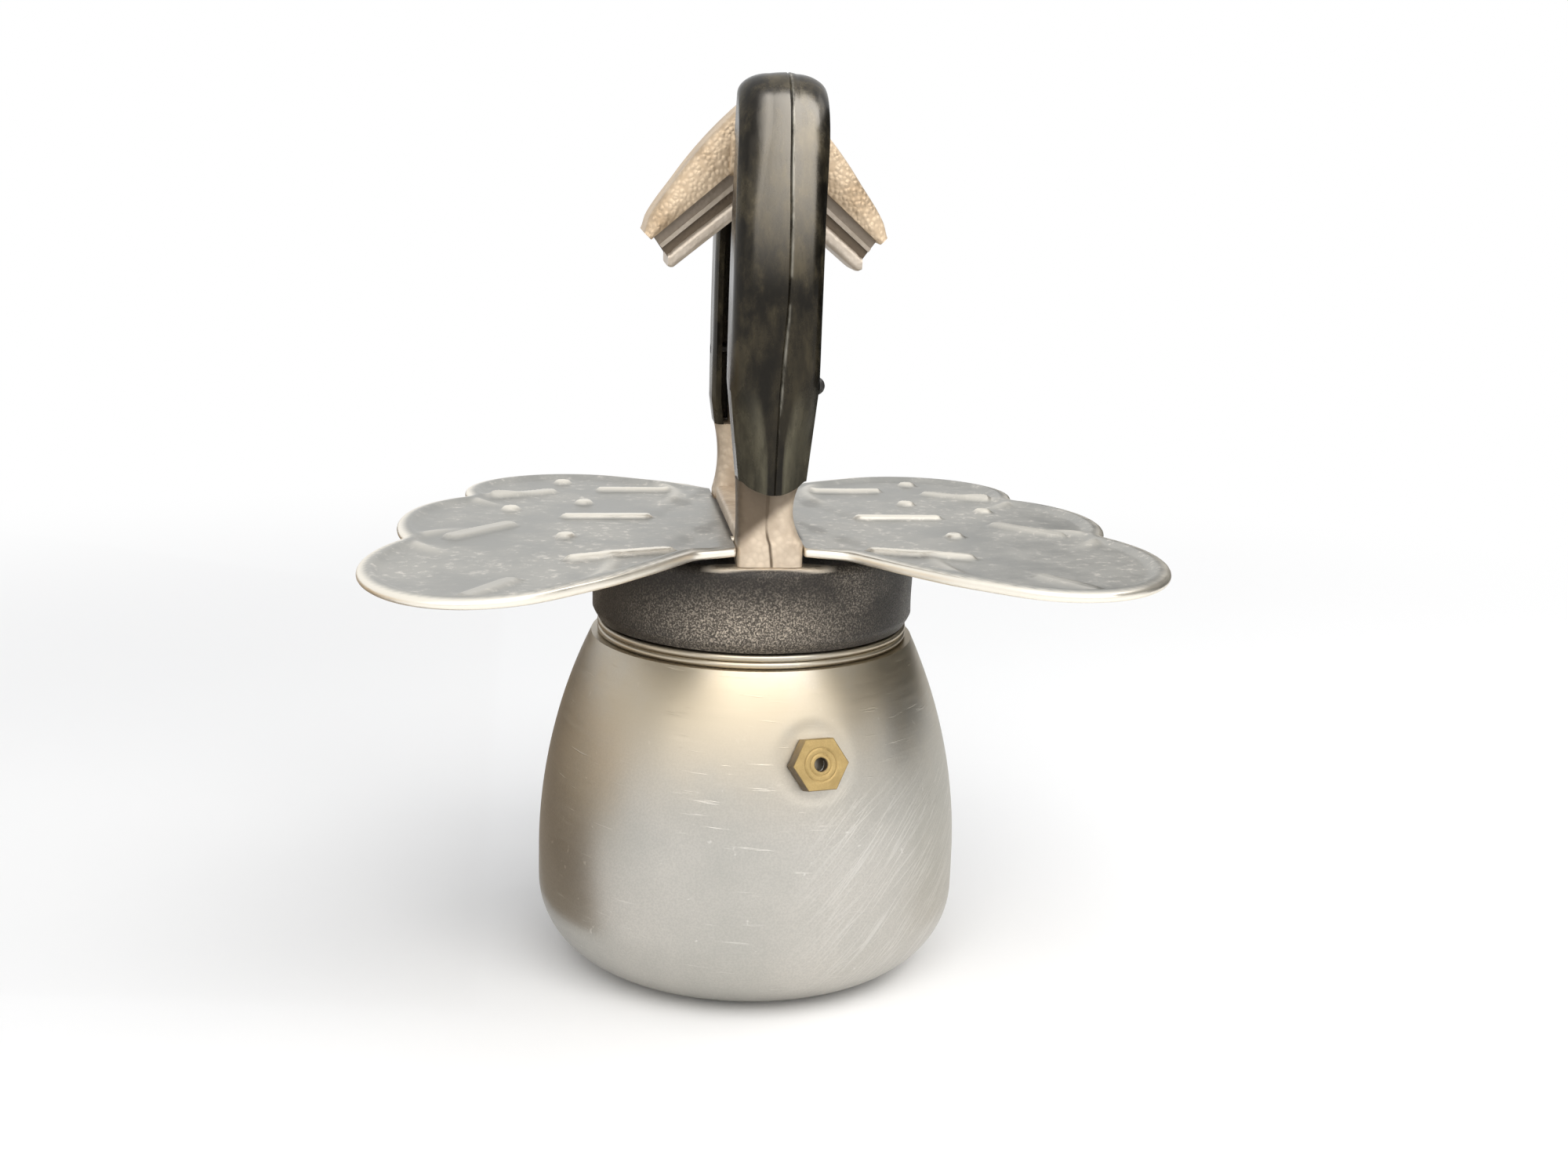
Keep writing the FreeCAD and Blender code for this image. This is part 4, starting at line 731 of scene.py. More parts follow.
for side, half in ((-1, "grip_left"), (1, "grip_right")):
    (outer_skin, inner_skin), ridge_mark, wear_and_sheen_mark = grip_skins(side)
    grip_patches = shell(outer_skin, inner_skin)
    plain = [np.zeros(patch.shape[:2]) for patch in grip_patches[1:]]
    build_piece(half + "_moulding", grip_patches, grip_black, "top", [half], sharp=50.0,
                marks={"parting": [ridge_mark] + plain, "wear_and_sheen": [wear_and_sheen_mark] + plain})

# %% [markdown]
# ## The loop casting
# One aluminium casting carries the coffee: a ridge between two flared feet, and legs and a crown that the
# CAD model has hollow. The legs are a rounded bar carried along the loop's line; the feet are stacked
# sections with a parting line in front.

# %% Loop casting surfaces
FOOT_TOP = 103.2
FOOT_BLOCK = 91.4


def leg_bar():
    """Rounded rectangle of width and depth, carried along the loop's line; ends drawn together."""
    line = loop_line(101.5, 40)
    across, depth = oval(np.linspace(-math.pi, math.pi, 65)[None, :], 3.2, 4.0, 6.0)
    stations = np.ones((len(line[0]), 1))
    rows = carried(line, across * stations, (7.5 + depth) * stations)
    ends = [np.broadcast_to(rows[row].mean(axis=0), rows[row].shape)[None] for row in (0, -1)]
    return np.concatenate([ends[0], rows, ends[1]])


def foot_stack(side):
    """Superellipse sections stacked up the foot: a wide block, a narrow waist, and wide under the grip."""
    top = FOOT_TOP if side < 0 else FOOT_TOP + BACK_END_LIFT
    block = np.linspace(COLLAR_TOP, 91.2, 10)
    z = np.concatenate([[COLLAR_TOP], block, np.linspace(91.6, top, 30), [top]])[:, None]
    rise = np.clip((z - FOOT_BLOCK) / (top - FOOT_BLOCK), 0.0, 1.0)
    waist = np.sin(math.pi * rise) ** 0.8
    half_x = 6.2 - 0.95 * waist
    shift = -0.85 * waist - 0.3 * rise if side < 0 else 0.0 * rise
    half_y = 4.0 - 0.35 * waist
    turn = np.linspace(-math.pi, math.pi, 257)[None, :]
    x, y = oval(turn, half_x, half_y, 6.5 - 2.5 * ease(z, 90.0, 96.0))
    middle = 0.25 * np.sin(z / 1.9)
    crease = np.exp(-((x - middle) / 0.22) ** 2) * (y < 0) * (1 - 0.75 * ease(z, 92.0, 96.0))
    lump = 0.05 * drift(x * 0.9, z * 0.8, 2.0)
    x, y = x * (1 + 0.02 * lump), y + 0.35 * crease + lump * (y < 0)
    ends = np.ones_like(z)
    ends[0] = ends[-1] = 0.0
    points = np.stack([x * ends + shift, (y * ends - 26.5), z * np.ones_like(x)], axis=2)
    # Painted shade: the upper waist under the grip is painted darker, most on the left, and the front crease
    # is painted as a dark line.
    shade = 0.95 * ease(z - 0.75 * x, 94.2, 97.2) * (1 - 0.2 * ease(x, 0.0, 2.0))
    stain_and_painted_light = np.clip(0.9 * crease + shade * (side < 0), 0.0, 1.0)
    if side > 0:
        points[:, :, :2] *= -1
    return points, stain_and_painted_light


ridge_block = rounded_block((-6.0, -23.0, COLLAR_TOP), (6.0, 23.0, 93.0), power=0.16)
front_foot, front_painted_shade = foot_stack(-1)
back_foot, back_painted_shade = foot_stack(1)
loop_bar = leg_bar()
casting_patches = [leaned(loop_bar), front_foot, back_foot, ridge_block]
casting_painted_shade = [np.zeros(loop_bar.shape[:2]), front_painted_shade, back_painted_shade, np.zeros(ridge_block.shape[:2])]
build_piece("loop_casting", casting_patches, frame_cream, "top", ["arch_frame"],
            sharp=45.0, marks={"stain_and_painted_light": casting_painted_shade})

# %% [markdown]
# ## The cup tray
# Each wing is a sheet stamped with three lobes, a rim, and raised bars and dots that stop the cups sliding.
# The outline is found by going round a middle point and taking the farthest edge in each direction. Heights
# come from distances: to the outline for the rim, to a line for a bar, to a point for a dot. Sculpting would
# do as well, but distances keep the two wings alike.

# %% Tray outline
WING_MIDDLE = np.array([11.0, 0.0])
TRAY_TOP = 90.7
TRAY_SHEET = 1.8
LOBES = (((51.0, -38.0), (21.5, 28.8)), ((48.0, -4.0), (21.4, 27.0)), ((36.0, 27.0), (22.0, 20.7)))
WEB = np.array([(6.35, -30.6), (14.4, -34.0), (22.5, -45.0), (30.2, -54.3), (37.8, -60.7), (51.0, -38.0),
                (48.0, -4.0), (36.0, 27.0), (23.7, 44.2), (17.0, 40.6), (11.5, 37.0), (6.35, 31.5),
                (6.35, 20.0), (3.6, 20.0), (3.6, -20.0), (6.35, -20.0)])


def ray_lobe(rays, centre, size):
    """Farthest crossing of rays from the middle point with an ellipse, by its quadratic equation, or 0."""
    offset = (WING_MIDDLE - np.asarray(centre)) / np.asarray(size)
    step = rays / np.asarray(size)
    a = (step ** 2).sum(axis=1)
    b = (step * offset).sum(axis=1)
    room = b ** 2 - a * ((offset ** 2).sum() - 1.0)
    return np.where(room > 0, np.maximum((-b + np.sqrt(np.maximum(room, 0))) / a, 0), 0)


def ray_web(rays, corners):
    """Farthest crossing of the rays with the straight edges of a closed outline."""
    start = corners - WING_MIDDLE
    edge = np.roll(corners, -1, axis=0) - corners
    cross = rays[:, None, 0] * edge[None, :, 1] - rays[:, None, 1] * edge[None, :, 0]
    cross = np.where(np.abs(cross) < 1e-9, 1e-9, cross)
    reach = (start[None, :, 0] * edge[None, :, 1] - start[None, :, 1] * edge[None, :, 0]) / cross
    share = (start[None, :, 0] * rays[:, None, 1] - start[None, :, 1] * rays[:, None, 0]) / cross
    return np.where((share >= 0) & (share <= 1) & (reach > 0), reach, 0).max(axis=1)


wing_turns = np.linspace(-math.pi, math.pi, 521)
wing_rays = np.stack([np.cos(wing_turns), np.sin(wing_turns)], axis=1)
wing_reach = np.max([ray_web(wing_rays, WEB)] + [ray_lobe(wing_rays, *lobe) for lobe in LOBES], axis=0)
soft = np.concatenate([wing_reach[-8:-1], wing_reach, wing_reach[1:8]])
soft = np.convolve(soft, np.array([1, 2, 3, 4, 3, 2, 1]) / 16.0, mode="same")[7:-7]
near_ridge = np.abs(wing_rays[:, 0] * wing_reach + WING_MIDDLE[0]) < 9.0
wing_reach = np.where(near_ridge, wing_reach, soft)
wing_edge = WING_MIDDLE + wing_rays * wing_reach[:, None]
print("tray wing reaches", wing_edge.max(axis=0).round(1), "from", wing_edge.min(axis=0).round(1))

# %% [markdown]
# A bar is two ends, half its width, how far it rises and how bright its painted highlight is. The long
# bars near the root are crisp and bright; the short ones on the lobes are lower and painted dimmer.

# %% Tray heights and wings
BARS = (((16.2, 30.0), (29.3, 30.0), 1.2, 1.0, 0.9), ((21.6, 1.0), (37.0, 1.0), 1.2, 1.0, 1.0),
        ((19.4, -31.6), (35.7, -36.4), 1.6, 1.1, 1.0), ((40.8, 27.2), (50.7, 21.5), 1.9, 0.85, 0.60),
        ((48.5, -6.3), (57.7, -15.5), 1.9, 0.80, 0.42), ((46.5, -52.0), (52.5, -61.0), 1.9, 0.70, 0.30))
DOTS = ((37.6, 38.0), (33.5, 15.7), (37.3, -17.1), (48.2, 8.0))


def bar_height(x, y, start, end, half):
    """One along a bar and falling to nothing over its bevel: distance to a line, eased."""
    start, end = np.asarray(start), np.asarray(end)
    along = end - start
    share = np.clip(((x - start[0]) * along[0] + (y - start[1]) * along[1]) / (along ** 2).sum(), 0, 1)
    away = np.hypot(x - start[0] - share * along[0], y - start[1] - share * along[1])
    return 1 - ease(away, half - 0.6, half + 0.6)


def wing_spread(reach, share=1.0):
    """Middle point plus a share of a reach along every ray, as x and y."""
    return [WING_MIDDLE[axis] + wing_rays[:, axis] * reach * share for axis in (0, 1)]


def wing_relief(x, y, side):
    """Heights and marks of the upper face: rim, bars, dots and notches from distances, and a slow sag."""
    outline = wing_edge[::2]
    gap_x = x[:, :, None] - outline[:, 0]
    gap_y = y[:, :, None] - outline[:, 1]
    away = np.sqrt((gap_x ** 2 + gap_y ** 2).min(axis=2))
    root = 1 - ease(x, 7.0, 15.0)
    rim = (1 - ease(away, 2.2, 4.6)) * (1 - root)
    bumps = [(bar_height(x, y, *bar[:3]), *bar[3:]) for bar in BARS]
    bumps += [(1 - ease(np.hypot(x - dot_x, y - dot_y), 1.2, 2.3), 1.0, 0.9) for dot_x, dot_y in DOTS]
    raised = np.max([bump * rise for bump, rise, shine in bumps], axis=0)
    rubbed_and_painted_highlight = np.max([bump * shine for bump, rise, shine in bumps], axis=0)
    levels = [np.hypot((x - centre[0]) / size[0], (y - centre[1]) / size[1]) for centre, size in LOBES]
    notch = np.max([np.exp(-((level - 1.0) * 24.0 / 1.5) ** 2) for level in levels], axis=0)
    notch = notch * (1 - ease(away, 5.0, 15.0)) * (1 - rim)
    pressed_in = -0.55 * (1 - rim) * (1 - root) + 0.7 * notch
    lip = 0.25 * np.exp(-((away - 2.4) / 0.9) ** 2) * (1 - root)
    sag = 0.10 * drift(x / 9.0, y / 11.0, 1.0 + side) * (1 - root) * (1 - rim)
    height = TRAY_TOP + pressed_in + lip + sag + 0.80 * raised * (1 - rim)
    # Painted shade towards the root: a painted shadow along the slot under the ridge, and blotchy darkening
    # that fades outwards from it.
    blotchy_shade = 0.32 * (1 - ease(x, 9.0, 27.0)) * ease(drift(x / 3.1, y / 4.3, 5.0), 0.0, 0.9)
    root_slot_shadow = (1 - ease(x, 6.3, 7.5)) * (np.abs(y) < 23.0)
    # Painted highlight on the rim's crest, on the bars and on the notch ridges.
    bright = rim * ease(2.2 - away, 0.0, 1.7)
    bars = np.maximum(rubbed_and_painted_highlight, 0.45 * notch) * (1 - rim)
    return height, bright, bars, np.maximum(root_slot_shadow, blotchy_shade * (1 - raised))


def wing_surface(side):
    """Top, rounded edge and underside in one grid of rings round the middle point, and its marks."""
    half_sheet = TRAY_SHEET / 2
    top = np.concatenate([np.linspace(0.0, 0.86, 88), np.linspace(0.865, 1.0, 28)])[:, None]
    reach = wing_reach[None, :] - half_sheet
    flat_x, flat_y = wing_spread(reach, top)
    height, bright, bars, painted_shade = wing_relief(flat_x, flat_y, side)
    round_turn = np.linspace(math.pi / 2, -math.pi / 2, 9)[1:, None]
    edge_x, edge_y = wing_spread(reach + half_sheet * np.cos(round_turn))
    edge_z = TRAY_TOP - half_sheet + half_sheet * np.sin(round_turn) * np.ones_like(reach)
    under_x, under_y = wing_spread(reach, np.linspace(1.0, 0.0, 24)[1:, None])
    under_z = (TRAY_TOP - TRAY_SHEET) * np.ones_like(under_x)
    x = np.concatenate([flat_x, edge_x, under_x])
    y = np.concatenate([flat_y, edge_y, under_y])
    z = np.concatenate([height, edge_z, under_z])
    marks = {"rim": [np.concatenate([bright, np.ones_like(edge_z), 0 * under_z])]}
    for name, mark in (("raised", bars), ("painted_shade", painted_shade)):
        marks[name] = [np.concatenate([mark, 0 * edge_z, 0 * under_z])]
    if side < 0:
        bent = ease(x, 18.0, 68.0) * ease(-y, -10.0, 45.0)
        x, y, z = x + 2.2 * bent, y - 1.6 * bent, z - 1.3 * bent
    return np.stack([side * x, y, z], axis=2), marks


for side, wing in ((-1, "tray_left_wing"), (1, "tray_right_wing")):
    sheet_grid, wing_marks = wing_surface(side)
    build_piece(wing + "_sheet", [sheet_grid], tray_dull, "top", [wing], sharp=60.0,
                marks=wing_marks)

# %% [markdown]
# ## The spouts
# The hood is a pair of cast arms either side of the crown, each an upside-down channel that gets shallower
# towards its tip. A section with rounded shoulders is carried outwards between a roof line and a lower
# line, because the two lines are what the eye reads from the front.

# %% Hood arms
HOOD_HALF = 8.0
HOOD_WALL = 2.0


def hood_lines(share):
    """Roof and lower lines of an arm: the roof is a bulged straight line, the lower line is straight."""
    root_roof, tip_roof = np.array([5.2, 171.0]), np.array([23.3, 146.6])
    root_low, tip_low = np.array([5.2, 159.9]), np.array([21.9, 145.3])
    along = tip_roof - root_roof
    out = np.array([-along[1], along[0]]) / np.hypot(*along)
    belly = 1.5 * 4 * share * (1 - share)
    knuckle = 0.5 * ease(share, 0.6, 0.9) * (1 - ease(share, 0.9, 1.0))
    roof = root_roof + along * share[:, None] + out * (belly + knuckle)[:, None]
    low = root_low + (tip_low - root_low) * share[:, None]
    return roof, low


def hood_arm(side):
    """Roof line's point plus a drop towards the lower line, across twice HOOD_HALF, with an inner skin."""
    share = np.concatenate([np.linspace(0.0, 0.9, 34), np.linspace(0.915, 1.0, 10)])
    roof, low = hood_lines(share)
    depth = np.hypot(*(low - roof).T)[:, None]
    down = (low - roof) / depth
    corner = np.minimum(1.6, 0.45 * depth)
    climb = np.linspace(1.0, 0.0, 14)[None, :]
    quarter = np.linspace(0.0, math.pi / 2, 9)[None, 1:]
    across = np.linspace(-1.0, 1.0, 15)[None, 1:-1]
    belly = 0.35 * np.sin(math.pi * np.clip(climb, 0, 1))
    side_d = corner + (depth - corner) * climb
    side_y = -HOOD_HALF - belly * np.ones_like(depth)
    edge_d = corner * (1 - np.sin(quarter))
    edge_y = -HOOD_HALF + corner * (1 - np.cos(quarter))
    top_y = across * (HOOD_HALF - corner)
    half_d = np.concatenate([side_d, edge_d], axis=1)
    half_y = np.concatenate([side_y, edge_y], axis=1)
    outer_d = np.concatenate([half_d, 0 * top_y, half_d[:, ::-1]], axis=1)
    outer_y = np.concatenate([half_y, top_y, -half_y[:, ::-1]], axis=1)
    shut = ease(share, 0.80, 0.97)[:, None]
    ceiling = HOOD_WALL + (depth - HOOD_WALL) * shut
    inner_d = np.maximum(outer_d, np.minimum(ceiling, depth))
    inner_y = np.clip(outer_y, -HOOD_HALF + HOOD_WALL, HOOD_HALF - HOOD_WALL)
    skins = []
    for drop, y in ((outer_d, outer_y), (inner_d, inner_y)):
        x = roof[:, :1] + down[:, :1] * drop
        z = roof[:, 1:] + down[:, 1:] * drop
        skins.append(np.stack([side * x, y, z], axis=2))
    return shell(*skins)


hood_hub = rounded_block((-6.5, -7.6, 157.7), (6.5, 7.6, 160.6))
hood_boss = [rounded_block((side * 6.6 - 1.5, -8.7, 157.3), (side * 6.6 + 1.5, 8.7, 166.0), power=0.35)
             for side in (-1, 1)]
hood_patches = [leaned(patch) for patch in hood_arm(-1) + hood_arm(1) + [hood_hub] + hood_boss]
build_piece("spout_hood_casting", hood_patches, spout_tan, "top", ["spout_hood"],
            sharp=55.0)

# %% [markdown]
# Under the hood lies the trough: a plate bent like a roof, with two low walls set back from its edges. The
# step between wall and hood, with painted shade on the walls, draws the dark line along each spout.

# %% Trough plate and walls
TROUGH_TOP = 151.5
TROUGH_FALL = 9.4
TROUGH_RUN = 11.5
TROUGH_HUB = 6.5
TROUGH_TIP = 18.6


def trough_line(x, limit=1.0):
    """Height of the plate's line: level over the hub, then a straight fall up to a limit of its run."""
    return TROUGH_TOP - TROUGH_FALL * np.clip((np.abs(x) - TROUGH_HUB) / TROUGH_RUN, 0.0, limit)


def trough_plate():
    """Rounded slab section of width and thickness, carried from tip to tip; ends drawn together."""
    arm = np.linspace(TROUGH_HUB, TROUGH_TIP, 24)
    half = np.concatenate([np.linspace(0.0, 6.2, 8), arm, [TROUGH_TIP]])
    x = np.concatenate([-half[:0:-1], half])[:, None]
    y, lift = oval(np.linspace(-math.pi, math.pi, 97)[None, :], HOOD_HALF, 1.8, 7.0)
    ends = np.ones_like(x)
    ends[0] = ends[-1] = 0.0
    thin = 1 - 0.35 * ease(np.abs(x), 17.4, TROUGH_TIP)
    z = trough_line(x) - 0.6 + lift * thin * ends
    return np.stack([x + 0 * y, y * ends, z], axis=2)


def trough_wall(side, outer, inner, low, high):
    """Upright shell from tip to tip, between two shares of the way from the plate up to the hood."""
    share = np.linspace(low, high, 7)[None, :]
    reach = np.linspace(-1.0, 1.0, 45)[:, None]
    x = reach * (18.4 + 2.9 * share)
    base = trough_line(x, 1.4)
    roof = 158.8 - 13.6 * np.clip((np.abs(x) - TROUGH_HUB) / 15.5, 0.0, 1.0)
    z = base * (1 - share) + roof * share
    skins = [np.stack([x, np.full_like(z, side * y), z], axis=2) for y in (outer, inner)]
    return shell(*skins)


TROUGH_INNER = 5.2
# Each layer: its outer face, the shares of the way up where it starts and ends, and its painted shade.
trough_layers = ((6.3, 0.05, 0.48, 0.95), (7.1, 0.48, 0.64, 0.40), (6.5, 0.64, 1.0, 0.72))
trough_patches = [trough_plate()]
trough_painted_shade = [np.zeros(trough_patches[0].shape[:2])]
for outer, low, high, stain_and_painted_light in trough_layers:
    for side in (-1, 1):
        wall = trough_wall(side, outer, TROUGH_INNER, low, high)
        trough_patches += wall
        trough_painted_shade += [np.full(patch.shape[:2], stain_and_painted_light) for patch in wall]
build_piece("spout_trough_casting", [leaned(patch) for patch in trough_patches], trough_cream, "top",
            ["spout_trough"], sharp=50.0, marks={"stain_and_painted_light": trough_painted_shade})

# %% [markdown]
# ## The safety valve's head
# A brass hexagon with a faced end: shallow turned rings round a vent hole. It is a turned profile too, but
# its radius on the flats depends on the angle, and the whole of it leans with the boiler's side.

# %% Valve head
VALVE_TURN = math.radians(VALVE_DEGREES)
HALF_FLATS = 4.8
VENT_RADIUS = 1.25
HEAD_TOP = 3.45
valve_rise = VALVE_HEIGHT - WALL_TOP
valve_lean = math.asin(valve_rise / SHOULDER_ARC)
valve_reach = BOILER_RADIUS - SHOULDER_ARC + math.sqrt(SHOULDER_ARC ** 2 - valve_rise ** 2)
sideways = np.array([math.cos(VALVE_TURN), math.sin(VALVE_TURN), 0.0])
outward = np.array([math.sin(VALVE_TURN), -math.cos(VALVE_TURN), 0.0])
valve_axis = outward * math.cos(valve_lean) + np.array([0.0, 0.0, math.sin(valve_lean)])
valve_up = np.cross(valve_axis, sideways)
valve_foot = outward * valve_reach + np.array([0.0, 0.0, VALVE_HEIGHT])


def on_valve(local):
    """Carry a shape from the valve's own axes to the boiler's side: foot plus each part along its axis."""
    x, y, z = local[:, :, :1], local[:, :, 1:2], local[:, :, 2:]
    return valve_foot + x * sideways + y * valve_up + z * valve_axis


def valve_head():
    """Closed profile round the vent and the shank; on the head the radius is flats over a cosine."""
    angles = np.linspace(0.0, 2 * math.pi, 241)
    flat = HALF_FLATS / np.cos(angles % (math.pi / 3) - math.pi / 6)
    face_r = np.linspace(1.42, 3.7, 40)
    rings = [np.exp(-((face_r - middle) / 0.16) ** 2) for middle in (2.05, 3.1)]
    face_z = HEAD_TOP - 0.14 * sum(rings)
    vent_r, vent_z = [VENT_RADIUS, VENT_RADIUS], [1.85, 3.28]
    side_r, side_z = [0.0, 0.0, 0.0, 0.0], [HEAD_TOP, 3.28, 1.6, 0.06]
    shank_r, shank_z = [3.0, 3.0, 2.0, 2.0, VENT_RADIUS], [0.06, -9.05, -9.05, 1.85, 1.85]
    radius = np.concatenate([vent_r, face_r, side_r, shank_r])
    height = np.concatenate([vent_z, face_z, side_z, shank_z])
    corner = len(vent_r) + len(face_r)
    on_flat = np.zeros_like(radius)
    on_flat[corner:corner + len(side_r)] = 1.0
    inset = np.zeros_like(radius)
    inset[corner] = 0.16
    wide = radius[:, None] + on_flat[:, None] * (flat - inset[:, None])
    local = turned(wide, height, angles)
    # Painted shade: the flats are darker on one side and the vent hole is dark.
    painted_shade = np.zeros(local.shape[:2])
    painted_shade[corner + 1:corner + len(side_r)] = 0.25 + 0.65 * ease(-np.sin(angles + 0.6), -0.6, 0.6)
    painted_shade[:len(vent_r)] = 1.0
    return on_valve(local), painted_shade


ring_line = np.array([(3.1, -0.55), (4.6, -0.55), (4.6, 0.03), (3.1, 0.03), (3.1, -0.55)])
ring_grid = turned(ring_line[:, :1], ring_line[:, 1], np.linspace(0.0, 2 * math.pi, 65))
# The washer carries painted shade: its copper is coloured dark.
build_piece("valve_washer_ring", [on_valve(ring_grid)], copper_painted_shade, "boiler", ["valve_washer"])
valve_grid, valve_painted_shade = valve_head()
build_piece("valve_head", [valve_grid], valve_brass, "boiler", ["valve_body"], sharp=30.0,
            marks={"stain_and_painted_light": [valve_painted_shade]})

# %% [markdown]
# ## Finishes for the CAD pieces
# Pieces whose CAD shape is already right keep it and only get a finish: the valve's inner parts, the
# funnel, the seals and the fastenings. The nodes that a new surface stands for get that surface's finish,
# or one of the same metal.

# %% Dress the CAD nodes
nodes_by_finish = ((boiler_satin, ("boiler",)), (collar_black, ("collar",)),
                   (frame_cream, ("arch_frame", "tray_rivets")),
                   (tray_dull, ("tray_left_wing", "tray_right_wing")), (spout_tan, ("spout_hood",)),
                   (trough_cream, ("spout_trough",)), (grip_black, ("grip_left", "grip_right")),
                   (rivet_black, ("grip_rivets",)), (brass, ("valve_body", "valve_seat")),
                   (dull_brass, ("valve_poppet",)), (copper_painted_shade, ("valve_washer",)),
                   (steel, ("valve_spring", "frame_screws", "spout_pin", "spout_screws")),
                   (pressed, ("funnel", "funnel_strainer", "filter_plate")),
                   (rubber, ("gasket", "port_seals")))
cad_finishes = {node: finish for finish, nodes in nodes_by_finish for node in nodes}
for node, finish in cad_finishes.items():
    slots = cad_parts[node].data.materials
    slots.clear()
    slots.append(finish)
print("dressed", len(cad_finishes), "CAD nodes")

# %% [markdown]
# ## Floor, light and camera
# A pale floor runs to white, so that no horizon shows, and keeps the soft shadow of the pot. Three large
# lamps light it as in a small studio. Metal shows what stands round it, so a few cards that only
# reflections see give the pot its dark edges and warm side.

# %% Floor and world
def floor_finish():
    pale = Finish("studio_floor", (0.92, 0.92, 0.92), 0.0, 0.9)
    where = pale.add("TexCoord", {}).outputs["Object"]
    far = pale.add("VectorMath", {0: where}, operation="LENGTH").outputs["Value"]
    glow = pale.add("Emission", {"Color": (1, 1, 1, 1), "Strength": 1.0})
    seen = pale.add("LightPath", {})
    through = pale.work("MAXIMUM", seen.outputs["Is Glossy Ray"], seen.outputs["Is Transmission Ray"])
    direct = pale.work("MAXIMUM", seen.outputs["Is Camera Ray"], through)
    share = pale.work("MULTIPLY", direct, pale.span(far, 0.18, 0.55))
    pale.show_mix(share, pale.shader.outputs["BSDF"], glow.outputs["Emission"])
    return pale.material


def flat_sheet(name, corners, finish):
    """A sheet of four corners that belongs to the studio, not to the pot."""
    mesh = bpy.data.meshes.new(name)
    mesh.from_pydata(corners, [], [(0, 1, 2, 3)])
    mesh.materials.append(finish)
    sheet = bpy.data.objects.new(name, mesh)
    bpy.context.scene.collection.objects.link(sheet)
    return sheet


FLOOR_HALF = 4.0
floor_corners = [(FLOOR_HALF * x, FLOOR_HALF * y, 0) for x, y in ((-1, -1), (1, -1), (1, 1), (-1, 1))]
flat_sheet("studio_floor", floor_corners, floor_finish())

world = bpy.data.worlds.new("studio_world")
bpy.context.scene.world = world
world.use_nodes = True
sky = world.node_tree
ray = sky.nodes.new("ShaderNodeLightPath").outputs
seen_first, seen_all = [sky.nodes.new("ShaderNodeMath") for step in range(2)]
for step in (seen_first, seen_all):
    step.operation = "MAXIMUM"
soft_fill = sky.nodes["Background"]
white = sky.nodes.new("ShaderNodeBackground")
for light, colour, strength in ((soft_fill, (0.95, 0.97, 1.0), 0.68), (white, (1.0, 1.0, 1.0), 1.0)):
    light.inputs["Color"].default_value = (*colour, 1.0)
    light.inputs["Strength"].default_value = strength
both = sky.nodes.new("ShaderNodeMixShader")
surface = sky.nodes["World Output"].inputs["Surface"]
world_links = ((ray["Is Camera Ray"], seen_first.inputs[0]), (ray["Is Glossy Ray"], seen_first.inputs[1]),
               (seen_first.outputs[0], seen_all.inputs[0]),
               (ray["Is Transmission Ray"], seen_all.inputs[1]), (seen_all.outputs[0], both.inputs[0]),
               (soft_fill.outputs[0], both.inputs[1]), (white.outputs[0], both.inputs[2]),
               (both.outputs[0], surface))
for source, socket in world_links:
    sky.links.new(source, socket)
print("floor and world ready")

# %% Lamps
def soft_lamp(name, place, target, size, power, colour):
    """Area lamp of a width and a height that faces a target."""
    lamp = bpy.data.lights.new(name, "AREA")
    lamp.shape = "RECTANGLE"
    lamp.size, lamp.size_y = size
    lamp.energy = power
    lamp.color = colour
    holder = bpy.data.objects.new(name, lamp)
    bpy.context.scene.collection.objects.link(holder)
    holder.location = place
    aim = Vector(target) - Vector(place)
    holder.rotation_euler = aim.to_track_quat("-Z", "Y").to_euler()


soft_lamp("key_right", (0.55, 0.02, 0.50), (0.0, 0.0, 0.06), (0.40, 0.40), 1.2, (1.0, 0.97, 0.93))
soft_lamp("window_front", (0.0, -0.70, 0.46), (0.0, 0.0, 0.12), (2.20, 0.40), 2.5, (1.0, 0.95, 0.88))
soft_lamp("window_top", (0.06, -0.44, 0.66), (0.0, 0.0, 0.12), (0.80, 0.50), 3.3, (1.0, 0.98, 0.95))

# %% [markdown]
# The cards are plain sheets hidden from the camera, from soft light and from shadows, so they change
# nothing but reflections. Two dark ones stand at the right, a low warm one at the left, and two lie on the
# floor and darken what the base reflects.

# %% Cards
CARD_LIFT = 0.0004
DARK = (0.05, 0.05, 0.045)


def reflection_card(name, corners, finish):
    """A sheet that only reflections see."""
    sheet = flat_sheet(name, corners, finish)
    sheet.visible_camera = False
    sheet.visible_shadow = False
    sheet.visible_diffuse = False


def card_paint(name, colour, axis, begin, end, first, last):
    """Matt paint that changes from one colour to another along an axis."""
    paint = Finish(name, colour, 0.0, 0.9)
    along = paint.add("SeparateXYZ", {"Vector": paint.place()}).outputs[axis]
    paint.feed("Base Color", paint.tint(paint.span(along, begin, end), first, last))
    return paint.material


def upright_card(name, start, end, low, high, far_high, near, far):
    """Upright card whose height and colour change along Y from near to far."""
    corners = [(*start, low), (*end, low), (*end, far_high), (*start, high)]
    reflection_card(name, corners, card_paint(name, near, "Y", start[1], end[1] * 0.75, near, far))


